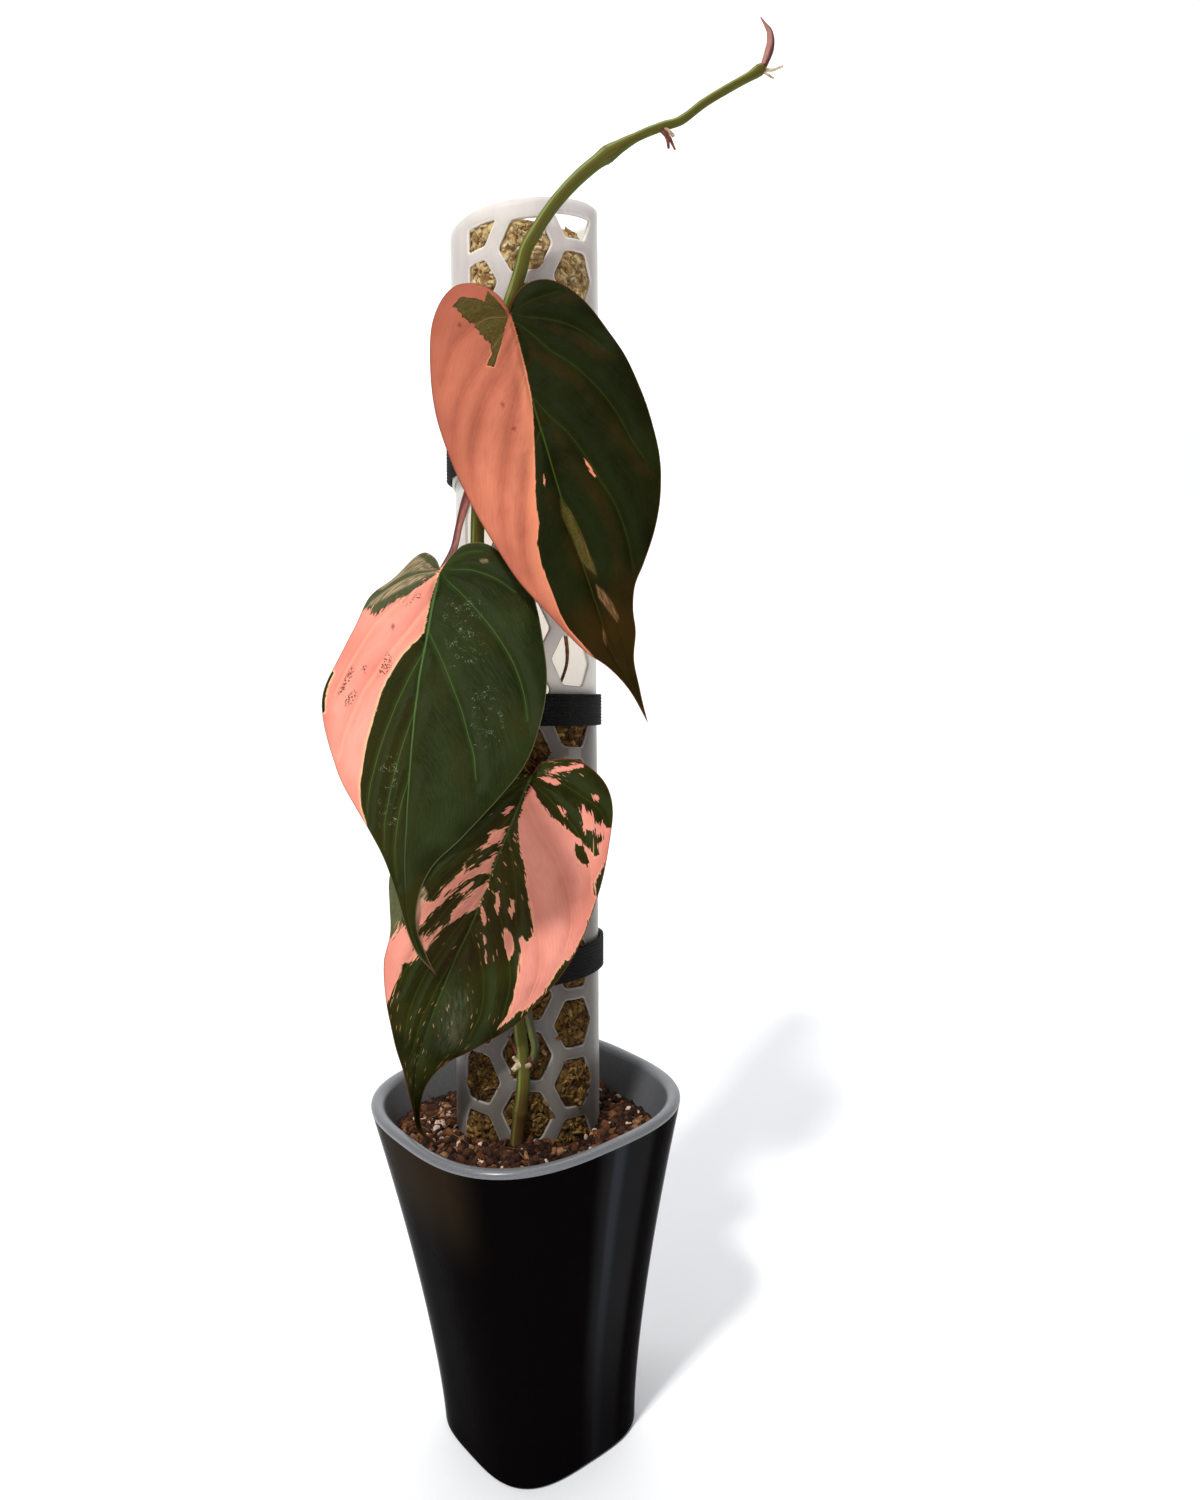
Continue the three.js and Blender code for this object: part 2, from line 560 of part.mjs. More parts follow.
function strapGeometry({ height, width, tilt }) {
  const rise = Math.tan(THREE.MathUtils.degToRad(tilt));
  const inner = strapPath(height, 0);
  const outer = strapPath(height, STRAP_THICKNESS);
  const place = ([x, y], level) =>
    polePoint(THREE.MathUtils.radToDeg(Math.atan2(x, -y)), height + level + rise * x, Math.hypot(x, y));
  const half = width / 2;
  const section = inner.map((p, i) => [
    place(p, -half), place(outer[i], -half), place(outer[i], half), place(p, half),
  ]);
  const vertices = section.flat();
  const triangles = [];
  section.forEach((_, i) => {
    const next = (i + 1) % section.length;
    for (let c = 0; c < 4; c++) {
      const d = (c + 1) % 4;
      triangles.push([4 * i + c, 4 * next + c, 4 * next + d], [4 * i + c, 4 * next + d, 4 * i + d]);
    }
  });
  return closedGeometry(vertices, triangles);
}

// How far the vine's middle lies from the pole's axis.
function vineReach(height) {
  const sleeve = height > SLEEVES.upper.foot - 12 ? SLEEVES.upper : SLEEVES.lower;
  return sleeveRadius(sleeve, height) + SHEET_THICKNESS / 2 + VINE_CLEARANCE + VINE_THICKEST;
}

function vineCurve() {
  const onPole = VINE_ON_POLE.map(([degrees, height]) => polePoint(degrees, height, vineReach(height)));
  return new THREE.CatmullRomCurve3([...onPole, ...toVectors(VINE_FREE)], false, "centripetal");
}

// The stretch of the vine in the soil, a little longer at both ends.
function vineFootCurve() {
  const vine = vineCurve();
  const foot = vine.getPointAt(0).addScaledVector(vine.getTangentAt(0), -2 * GAP);
  return new THREE.CatmullRomCurve3([foot, ...VINE_FOOT_SHARES.map((share) => vine.getPointAt(share))]);
}

const vineSwell = (share, length) =>
  VINE_NODES.reduce((sum, node) => {
    const away = ((share - node) * length) / VINE_NODE_LENGTH;
    return sum + Math.exp(-away * away);
  }, 0);

let vineLength = 0;
function vineRadius(share) {
  if (!vineLength) vineLength = vineCurve().getLength();
  return along(VINE_RADII, share) + VINE_NODE_SWELL * vineSwell(share, vineLength);
}

// A closed tube along a curve, with a radius that follows a rule.
function taperedTube(curve, radiusAt, steps, sides, from = 0, to = 1) {
  const frames = curve.computeFrenetFrames(FRAME_COUNT, false);
  const rings = [[curve.getPointAt(from)]];
  for (let s = 0; s <= steps; s++) {
    const share = THREE.MathUtils.lerp(from, to, s / steps);
    const frame = Math.round(share * FRAME_COUNT);
    const centre = curve.getPointAt(share);
    const ring = [];
    for (let k = 0; k < sides; k++) {
      const turn = (2 * Math.PI * k) / sides;
      ring.push(centre.clone()
        .addScaledVector(frames.normals[frame], radiusAt(share) * Math.cos(turn))
        .addScaledVector(frames.binormals[frame], radiusAt(share) * Math.sin(turn)));
    }
    rings.push(ring);
  }
  rings.push([curve.getPointAt(to)]);
  return skin(rings);
}

function vineGeometry() {
  const stem = toSolid(taperedTube(vineCurve(), vineRadius, VINE_STEPS, VINE_SIDES));
  const joined = STUBS.reduce((sum, { points, radii }) => {
    const curve = new THREE.CatmullRomCurve3(toVectors(points), false, "centripetal");
    const radiusAt = (share) => THREE.MathUtils.lerp(...radii, share);
    return sum.add(toSolid(taperedTube(curve, radiusAt, STUB_STEPS, STUB_SIDES)));
  }, stem);
  return toGeometry(joined);
}

function stalkGeometry({ points, radii, steps }) {
  const curve = new THREE.CatmullRomCurve3(toVectors(points), false, "centripetal");
  const radiusAt = (share) => THREE.MathUtils.lerp(radii[0], radii[1], Math.min(1, share * 2.5));
  return taperedTube(curve, radiusAt, steps, STALK_SIDES);
}

function sheathGeometry() {
  const curve = new THREE.CatmullRomCurve3(toVectors(SHEATH.points), false, "centripetal");
  return taperedTube(curve, (share) => along(SHEATH.radii, share), 12, 8);
}

function rootsGeometry() {
  const strands = ROOTS.map((strand) => {
    const points = strand.map(([degrees, height, radius]) => polePoint(degrees, height, radius));
    const curve = new THREE.CatmullRomCurve3(points, false, "centripetal");
    return toSolid(taperedTube(curve, (share) => along(ROOT_RADII, share), 9, 5));
  });
  return toGeometry(strands.reduce((sum, strand) => sum.add(strand)));
}

// A blade's rise out of its own plane, towards the face, at a place in that plane.
function bladeRise(leaf, x, y, length) {
  const share = THREE.MathUtils.clamp(y / length, 0, 1);
  const arch = leaf.arch * Math.sin(Math.PI * share) + leaf.tipRise * share ** 3;
  const valley = leaf.valley * (1 - Math.exp(-Math.abs(x) / VALLEY_WIDTH));
  const droop = leaf.droop * (x / BLADE_HALF_WIDTH) ** 2;
  const lobe = leaf.lobeDroop * (Math.max(0, -y) / LOBE_LENGTH) ** 2;
  return arch + valley - droop - lobe;
}

function bladePlacer(leaf) {
  const stalk = new THREE.Vector3(...leaf.stalk);
  const down = new THREE.Vector3(...leaf.along).normalize();
  const face = new THREE.Vector3(...leaf.facing);
  face.addScaledVector(down, -face.dot(down)).normalize();
  const across = new THREE.Vector3().crossVectors(face, down);
  const length = leaf.midrib.at(-1)[1];
  return (x, y, side) =>
    stalk.clone()
      .addScaledVector(across, x)
      .addScaledVector(down, y)
      .addScaledVector(face, bladeRise(leaf, x, y, length) + (side * BLADE_THICKNESS) / 2);
}

const planeCurve = (points) =>
  new THREE.CatmullRomCurve3(points.map(([x, y]) => new THREE.Vector3(x, y, 0)), false, "centripetal");

function bladeGeometry(leaf) {
  const place = bladePlacer(leaf);
  const midrib = planeCurve(leaf.midrib);
  const halves = [planeCurve(leaf.left), planeCurve(leaf.right)];
  const vertices = [];
  const triangles = [];
  halves.forEach((margin, half) => {
    const grid = [];
    for (let row = 0; row <= BLADE_ROWS; row++) {
      const share = row / BLADE_ROWS;
      const start = Math.max(0, (share - FAN_SHARE) / (1 - FAN_SHARE)) ** FAN_POWER;
      const [inner, outer] = [midrib.getPointAt(start), margin.getPointAt(share)];
      const line = [];
      for (let column = 0; column <= BLADE_COLUMNS; column++) {
        const p = inner.clone().lerp(outer, column / BLADE_COLUMNS);
        line.push(vertices.length);
        vertices.push(place(p.x, p.y, 1), place(p.x, p.y, -1));
      }
      grid.push(line);
    }
    const quad = (a, b, c, d, flip) => {
      const [one, two] = [[a, b, c], [a, c, d]];
      triangles.push(flip ? one.reverse() : one, flip ? two.reverse() : two);
    };
    for (let row = 0; row < BLADE_ROWS; row++) {
      for (let column = 0; column < BLADE_COLUMNS; column++) {
        const [a, b] = [grid[row][column], grid[row][column + 1]];
        const [d, c] = [grid[row + 1][column], grid[row + 1][column + 1]];
        quad(a, b, c, d, half === 1);
        quad(a + 1, b + 1, c + 1, d + 1, half === 0);
      }
      const [a, d] = [grid[row].at(-1), grid[row + 1].at(-1)];
      quad(a, a + 1, d + 1, d, half === 1);
    }
  });
  return closedGeometry(vertices, triangles);
}

const MATERIALS = {
  pot: { color: 0x141518, roughness: 0.18, metalness: 0 },
  soil: { color: 0x3b2a1d, roughness: 0.95, metalness: 0 },
  sleeve: { color: 0xcfd2d6, roughness: 0.35, metalness: 0, transparent: true, opacity: 0.55 },
  mossLower: { color: 0x5a4a22, roughness: 0.95, metalness: 0 },
  mossUpper: { color: 0xb39a63, roughness: 0.95, metalness: 0 },
  strap: { color: 0x101012, roughness: 0.9, metalness: 0 },
  vine: { color: 0x66752a, roughness: 0.5, metalness: 0 },
  petioleRed: { color: 0x7a3a2a, roughness: 0.5, metalness: 0 },
  petioleGreen: { color: 0x6f7d33, roughness: 0.5, metalness: 0 },
  bladePink: { color: 0xd9806a, roughness: 0.6, metalness: 0 },
  bladePale: { color: 0xe8a08c, roughness: 0.6, metalness: 0 },
  bladeGreen: { color: 0x3b4a1c, roughness: 0.6, metalness: 0 },
  sheath: { color: 0x7d3b2a, roughness: 0.5, metalness: 0 },
  root: { color: 0x4a2f1d, roughness: 0.9, metalness: 0 },
};

const plant = new THREE.Group();

function addPiece(name, geometry, material) {
  geometry.computeVertexNormals();
  const mesh = new THREE.Mesh(geometry, new THREE.MeshStandardMaterial(MATERIALS[material]));
  mesh.name = name;
  plant.add(mesh);
}

addPiece("pot", potGeometry(), "pot");
addPiece("soil", soilGeometry(), "soil");
addPiece("sleeve_lower", sleeveGeometry(SLEEVES.lower), "sleeve");
addPiece("sleeve_upper", sleeveGeometry(SLEEVES.upper), "sleeve");
addPiece("moss_lower", mossGeometry(MOSS.lower), "mossLower");
addPiece("moss_upper", mossGeometry(MOSS.upper), "mossUpper");
Object.entries(STRAPS).forEach(([name, strap]) => addPiece(name, strapGeometry(strap), "strap"));
addPiece("vine", vineGeometry(), "vine");
addPiece("petiole_top", stalkGeometry(STALKS.petiole_top), "petioleGreen");
addPiece("petiole_middle", stalkGeometry(STALKS.petiole_middle), "petioleRed");
addPiece("petiole_lower", stalkGeometry(STALKS.petiole_lower), "petioleGreen");
addPiece("leaf_top", bladeGeometry(LEAVES.leaf_top), "bladePink");
addPiece("leaf_middle", bladeGeometry(LEAVES.leaf_middle), "bladePale");
addPiece("leaf_lower", bladeGeometry(LEAVES.leaf_lower), "bladeGreen");
addPiece("new_leaf_sheath", sheathGeometry(), "sheath");
addPiece("aerial_roots", rootsGeometry(), "root");

export default plant;
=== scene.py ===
"""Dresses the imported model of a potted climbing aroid: pot, soil, moss pole, straps, stem and leaves.

Places and sizes are in millimetres, as in the part's source, and turn into metres where a mesh is made. Colours are
written as they look on screen, 0 to 255, and turn linear where a shader takes them.
"""

import logging
import math
from collections.abc import Sequence
from dataclasses import dataclass
from enum import Enum
from functools import partial, reduce

import bpy
import numpy as np
from mathutils import Matrix, Vector, noise
from mathutils.geometry import delaunay_2d_cdt


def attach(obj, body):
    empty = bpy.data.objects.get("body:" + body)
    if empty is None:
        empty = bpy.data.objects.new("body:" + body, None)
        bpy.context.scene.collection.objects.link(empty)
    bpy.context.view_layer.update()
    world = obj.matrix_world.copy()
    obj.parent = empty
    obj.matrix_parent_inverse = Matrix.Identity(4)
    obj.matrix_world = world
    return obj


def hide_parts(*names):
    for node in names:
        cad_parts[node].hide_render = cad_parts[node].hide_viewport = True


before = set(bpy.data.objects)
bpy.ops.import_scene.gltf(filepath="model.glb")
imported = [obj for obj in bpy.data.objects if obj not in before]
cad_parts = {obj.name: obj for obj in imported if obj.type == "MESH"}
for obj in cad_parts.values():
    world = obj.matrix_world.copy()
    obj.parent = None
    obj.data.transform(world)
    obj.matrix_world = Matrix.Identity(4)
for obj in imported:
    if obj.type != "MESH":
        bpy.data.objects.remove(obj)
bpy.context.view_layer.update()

log = logging.getLogger("plant")

MM = 0.001
BODY = "root"
Face = tuple[int, ...]
Row = Sequence[float]
Points = Sequence[Row]
Array = np.ndarray
Piece = bpy.types.Object
Material = bpy.types.Material
Socket = bpy.types.NodeSocket
Tone = tuple[int, int, int]
Feed = Socket | float | Row
Feeds = dict[str, Feed]


def linear(tone: Tone) -> tuple[float, ...]:
    """Turns a screen colour into the linear colour that a shader takes, with full alpha."""
    shares = (value / 255 for value in tone)
    return (*(share / 12.92 if share <= 0.04045 else ((share + 0.055) / 1.055) ** 2.4 for share in shares), 1.0)


def smooth_step(low: float, high: float, value: Array) -> Array:
    """Eases values from 0 at low to 1 at high."""
    share = np.clip((value - low) / (high - low), 0, 1)
    return share * share * (3 - 2 * share)


def bell(value: Array, width: float) -> Array:
    """Gives 1 where a value is 0, falling off to both sides over the width."""
    return np.exp(-(value / width) ** 2)


def unit(vectors: Array) -> Array:
    """Scales vectors to length 1, along the last axis."""
    return vectors / np.maximum(np.linalg.norm(vectors, axis=-1, keepdims=True), 1e-12)


def pairs(row: Row) -> Array:
    """Reads a row of x and y in turn, in tenths of a millimetre, as places in millimetres."""
    return np.array(row, float).reshape(-1, 2) / 10


def path_reach(places: Array) -> Array:
    """Measures how far along a path each of its places lies."""
    return np.concatenate([[0], np.cumsum(np.linalg.norm(np.diff(places, axis=0), axis=1))])


def roughness_field(places: Array, scale: float, seed: float, octaves: int = 3) -> Array:
    """Reads a smooth random field.

    Args:
        places: Places in millimetres, two or three columns.
        scale: Size of the field's bumps in millimetres.
        seed: Offset into the field.
        octaves: How many finer layers are added.

    Returns:
        One value for each place, mostly within -1 to 1.
    """
    offset = Vector((seed, 1.7 * seed, -seed))
    return np.array([
        noise.fractal(Vector(place) / scale + offset, 1.0, 2.1, octaves, noise_basis="PERLIN_ORIGINAL")
        for place in np.pad(places, ((0, 0), (0, 3 - places.shape[1])))
    ])


class SmoothCurve:
    """A centripetal curve through points, read by its share of length."""

    def __init__(self, points: Points, steps: int = 24) -> None:
        """Samples the curve.

        Args:
            points: The points that the curve passes, in order.
            steps: Samples between two points.
        """
        known = np.asarray(points, float)
        known = np.vstack([2 * known[0] - known[1], known, 2 * known[-1] - known[-2]])
        t = np.linspace(0, 1, steps, endpoint=False)[:, None]
        samples = []
        for before, start, end, after in zip(known, known[1:], known[2:], known[3:]):
            first, gap, last = (max(np.linalg.norm(run) ** 0.5, 1e-6)
                                for run in (start - before, end - start, after - end))
            leave = gap * ((start - before) / first - (end - before) / (first + gap) + (end - start) / gap)
            arrive = gap * ((end - start) / gap - (after - start) / (gap + last) + (after - end) / last)
            samples.append(start + leave * t + (3 * (end - start) - 2 * leave - arrive) * t**2
                           + (2 * (start - end) + leave + arrive) * t**3)
        self.samples = np.vstack([*samples, known[-2:-1]])
        self.reach = path_reach(self.samples)
        self.length = float(self.reach[-1])

    def at(self, share: Array) -> Array:
        """Reads the places at shares of the curve's length, one row each."""
        return np.stack([np.interp(share * self.length, self.reach, axis) for axis in self.samples.T], axis=1)


def line_distance(places: Array, line: Array) -> tuple[Array, Array]:
    """Measures flat places against a line of segments.

    Args:
        places: Places, two columns.
        line: The line's points in order, two columns.

    Returns:
        Each place's distance, positive on the line's left, and the share of the line beside it.
    """
    best = np.full(len(places), 1e9)
    side, share = np.ones(len(places)), np.zeros(len(places))
    for index, (start, end) in enumerate(zip(line, line[1:])):
        run, offset = end - start, places - start
        t = np.clip(offset @ run / max(run @ run, 1e-12), 0, 1)
        distance = np.linalg.norm(offset - t[:, None] * run, axis=1)
        nearer = distance < best
        best = np.where(nearer, distance, best)
        side = np.where(nearer, np.sign(run[0] * offset[:, 1] - run[1] * offset[:, 0]), side)
        share = np.where(nearer, (index + t) / (len(line) - 1), share)
    return best * side, share


def outline_reach(places: Array, outline: Array) -> Array:
    """Measures how far flat places lie inside a closed outline.

    Args:
        places: Places, two columns.
        outline: The outline's corners in order, two columns.

    Returns:
        The distance to the outline, positive inside and negative outside.
    """
    closed = np.vstack([outline, outline[:1]])
    distance = np.abs(line_distance(places, closed)[0])
    inside = np.zeros(len(places), bool)
    for (x0, y0), (x1, y1) in zip(closed, closed[1:]):
        crosses = (y0 > places[:, 1]) != (y1 > places[:, 1])
        rise = (y1 - y0) if y1 != y0 else 1e-12
        inside ^= crosses & (places[:, 0] < x0 + (places[:, 1] - y0) * (x1 - x0) / rise)
    return np.where(inside, distance, -distance)


def deepest_reach(places: Array, outlines: Sequence[Array]) -> Array:
    """Measures how far flat places lie inside the outline that holds them, or outside the nearest."""
    return np.max([outline_reach(places, outline) for outline in outlines], axis=0)


def add_object(name: str, data: bpy.types.ID) -> Piece:
    """Adds an object of that name, with its mesh, camera or light, to the scene."""
    made = bpy.data.objects.new(name, data)
    bpy.context.scene.collection.objects.link(made)
    return made


def make_piece(name: str, vertices: Array, faces: list[Face],
               attributes: dict[str, Array] | None = None) -> Piece:
    """Makes a smooth mesh object at the origin.

    Args:
        name: The piece's name.
        vertices: Places in millimetres, one row each.
        faces: Vertex numbers of each face, anticlockwise from outside.
        attributes: Values for each vertex that a finish reads, by name.

    Returns:
        The new object, linked to the scene.
    """
    mesh = bpy.data.meshes.new(name)
    mesh.from_pydata((np.asarray(vertices) * MM).tolist(), [], faces)
    for key, values in (attributes or {}).items():
        vector = values.ndim == 2
        layer = mesh.attributes.new(key, "FLOAT_VECTOR" if vector else "FLOAT", "POINT")
        layer.data.foreach_set("vector" if vector else "value", np.asarray(values, np.float32).ravel())
    mesh.shade_smooth()
    mesh.validate()
    return add_object(name, mesh)


def settle(piece: Piece, material: Material, slot: str, *nodes: str) -> None:
    """Gives a piece its finish and its place in the model.

    Args:
        piece: The finished piece.
        material: The piece's finish.
        slot: Name of the material slot that the piece belongs to. It is not used.
        *nodes: CAD nodes that the piece stands for.
    """
    piece.data.materials.clear()
    piece.data.materials.append(material)
    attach(piece, BODY)
    if nodes:
        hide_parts(*nodes)
    log.info("%s: %d faces", piece.name, len(piece.data.polygons))


def grid_faces(rows: int, columns: int, closed: bool = True, start: int = 0) -> list[Face]:
    """Lists the quads of vertices stored row by row, where each row may join its own start."""
    return [(low + here, low + after, low + columns + after, low + columns + here)
            for low in range(start, start + (rows - 1) * columns, columns)
            for here, after in ((here, (here + 1) % columns) for here in range(columns if closed else columns - 1))]


def fan_faces(start: int, count: int, tip: int, turned: bool = False) -> list[Face]:
    """Lists the triangles between a ring of vertices and the vertex at its middle, or turns them round."""
    faces = [(tip, start + side, start + (side + 1) % count) for side in range(count)]
    return [face[::-1] for face in faces] if turned else faces


def tube_faces(rows: int, sides: int) -> list[Face]:
    """Lists the faces of rings stored row by row, closed at both ends by the two vertices that follow them."""
    rings = rows * sides
    return (grid_faces(rows, sides) + fan_faces(0, sides, rings, turned=True)
            + fan_faces(rings - sides, sides, rings + 1))


def shell_faces(faces: list[Face], count: int) -> list[Face]:
    """Lists the faces of a closed shell whose underside repeats the vertices of its top.

    Args:
        faces: The top's faces.
        count: Number of vertices in the top.

    Returns:
        The faces of the top, the underside and the rim between them.
    """
    used = dict.fromkeys((start, end) for face in faces for start, end in zip(face, face[1:] + face[:1]))
    under = [tuple(corner + count for corner in reversed(face)) for face in faces]
    return faces + under + [(end, start, start + count, end + count)
                            for start, end in used if (end, start) not in used]


@dataclass
class Sweep:
    """A round form swept along a curve, as mesh data."""

    vertices: Array
    faces: list[Face]
    attributes: dict[str, Array]

    @classmethod
    def along(cls, places: Array, radii: Array, sides: int = 12,
              flatness: float = 1.0, ridges: int = 0, ridge_depth: float = 0.0) -> "Sweep":
        """Sweeps a round section along places.

        Args:
            places: The middle of each section, one row each.
            radii: Radius of each section.
            sides: Vertices round a section.
            flatness: Depth of a section over its width.
            ridges: Number of ridges along the sweep.
            ridge_depth: Height of a ridge as a share of the radius.

        Returns:
            The closed sweep, with its place along the path and its left side as attributes.
        """
        travel = unit(np.gradient(places, axis=0))
        left = unit(np.cross(travel, np.array([0.0, 1.0, 0.0])))
        front = np.cross(left, travel)
        turns = np.linspace(0, 2 * np.pi, sides, endpoint=False)
        swell = 1 + ridge_depth * np.cos(ridges * turns)
        across, deep = np.cos(turns) * swell, np.sin(turns) * swell * flatness
        rings = (places[:, None] + radii[:, None, None]
                 * (across[None, :, None] * left[:, None] + deep[None, :, None] * front[:, None]))
        count, reach = len(places), path_reach(places)
        attributes = {
            "reach": np.concatenate([np.repeat(reach, sides), [0, reach[-1]]]),
            "left": np.concatenate([np.tile(np.cos(turns), count), [0, 0]]),
            "around": np.concatenate([np.tile(np.sin(turns), count), [0, 0]]),
        }
        return cls(np.vstack([rings.reshape(-1, 3), places[:1], places[-1:]]),
                   [face[::-1] for face in tube_faces(count, sides)], attributes)

    def join(self, other: "Sweep") -> "Sweep":
        """Adds another sweep's mesh data to this one's."""
        shift = len(self.vertices)
        moved = [tuple(index + shift for index in face) for face in other.faces]
        values = {key: np.concatenate([self.attributes[key], other.attributes[key]]) for key in self.attributes}
        return Sweep(np.vstack([self.vertices, other.vertices]), self.faces + moved, values)

    def piece(self, name: str) -> Piece:
        """Makes the sweep's object."""
        return make_piece(name, self.vertices, self.faces, self.attributes)


class Graph:
    """A node tree, with short calls for adding, feeding and reckoning."""

    def __init__(self, tree: bpy.types.NodeTree) -> None:
        """Takes over an empty tree."""
        self.tree = tree

    def node(self, kind: str, feeds: dict[str | int, object] | None = None, **settings: object) -> bpy.types.Node:
        """Adds a node.

        Args:
            kind: The node's type.
            feeds: Sockets, values or screen colours for its inputs, by name or number.
            **settings: Properties to set on it.

        Returns:
            The new node.
        """
        made = self.tree.nodes.new(kind)
        for key, value in settings.items():
            setattr(made, key, value)
        for key, value in (feeds or {}).items():
            socket = made.inputs[key]
            if isinstance(value, Socket):
                self.tree.links.new(value, socket)
            else:
                socket.default_value = linear(value) if socket.type == "RGBA" else value
        return made

    def wire(self, kind: str, feeds: dict[str | int, object] | None = None, output: str | int = 0,
             **settings: object) -> Socket:
        """Adds a node as node() does, and gives the output of that name or number."""
        return self.node(kind, feeds, **settings).outputs[output]

    def math(self, operation: str, first: Feed, second: Feed = 0.0) -> Socket:
        """Adds an operation on numbers."""
        return self.wire("ShaderNodeMath", {0: first, 1: second}, operation=operation)

    def times(self, *values: Feed) -> Socket:
        """Multiplies numbers."""
        return reduce(partial(self.math, "MULTIPLY"), values)

    def plus(self, *values: Feed) -> Socket:
        """Adds numbers up."""
        return reduce(partial(self.math, "ADD"), values)


class NodeSheet(Graph):
    """A material's nodes, with short calls for those that the finishes share."""

    def __init__(self, name: str) -> None:
        """Starts an empty material of that name."""
        self.material = bpy.data.materials.new(name)
        self.material.use_nodes = True
        super().__init__(self.material.node_tree)
        self.tree.nodes.clear()

    def read(self, name: str, output: str = "Fac") -> Socket:
        """Reads a mesh attribute, as a number unless another output is named."""
        return self.wire("ShaderNodeAttribute", output=output, attribute_name=name)

    def stretch(self, vector: Socket, scale: Row) -> Socket:
        """Stretches a vector along its axes."""
        return self.wire("ShaderNodeMapping", {"Vector": vector, "Scale": scale})

    def place(self, scale: Row = (1, 1, 1)) -> Socket:
        """Reads the place on the object, stretched along its axes."""
        return self.stretch(self.wire("ShaderNodeTexCoord", output="Object"), scale)

    def noise(self, vector: Socket, scale: float, detail: float = 3, distortion: float = 0) -> Socket:
        """Adds a noise texture of 0 to 1 that has so many finer layers as its detail."""
        return self.wire("ShaderNodeTexNoise", {
            "Vector": vector, "Scale": scale, "Detail": detail, "Distortion": distortion}, "Fac")

    def off_middle(self, vector: Socket, scale: float, detail: float = 3, distortion: float = 0) -> Socket:
        """Adds a noise texture as noise() does, and moves its middle to 0."""
        return self.math("SUBTRACT", self.noise(vector, scale, detail, distortion), 0.5)

    def cells(self, vector: Socket, scale: float, output: str = "Distance") -> Socket:
        """Adds a cell texture that has so many cells to a unit, and gives one of its outputs."""
        return self.wire("ShaderNodeTexVoronoi", {"Vector": vector, "Scale": scale}, output)

    def spread(self, value: Feed, low: float, high: float, to_low: float = 0, to_high: float = 1) -> Socket:
        """Eases a value from between low and high to between to_low and to_high."""
        return self.wire("ShaderNodeMapRange", {0: value, 1: low, 2: high, 3: to_low, 4: to_high},
                         interpolation_type="SMOOTHSTEP")

    def paint(self, colour: Feed, *layers: tuple[Feed, Feed]) -> Socket:
        """Paints layers over a colour, each given as its share and its own colour."""
        for share, tone in layers:
            colour = self.wire("ShaderNodeMix", {0: share, 6: colour, 7: tone}, 2, data_type="RGBA")
        return colour

    def bump(self, height: Feed, distance: float, strength: float = 1.0, under: Socket | None = None) -> Socket:
        """Turns a height of 0 to 1 into a normal that is bumped by a distance in metres."""
        feeds = {"Strength": strength, "Distance": distance, "Height": height}
        return self.wire("ShaderNodeBump", feeds if under is None else {**feeds, "Normal": under})


class Finish:
    """What every finish shares: its nodes end in one surface shader."""

    def material(self, name: str) -> Material:
        """Makes the finish's material under that name."""
        sheet = NodeSheet(name)
        feeds = {key.replace("_", " "): value for key, value in self.lay(sheet).items()}
        surface = sheet.wire("ShaderNodeBsdfPrincipled", feeds)
        sheet.node("ShaderNodeOutputMaterial", {"Surface": surface})
        return sheet.material

    def lay(self, sheet: NodeSheet) -> Feeds:
        """Lays the finish's nodes and lists the shader's inputs, with underscores for spaces."""
        raise NotImplementedError


class Scatter(Enum):
    """What a scatter tree strews over a surface."""

    STRAND = "strand"
    CRUMB = "crumb"


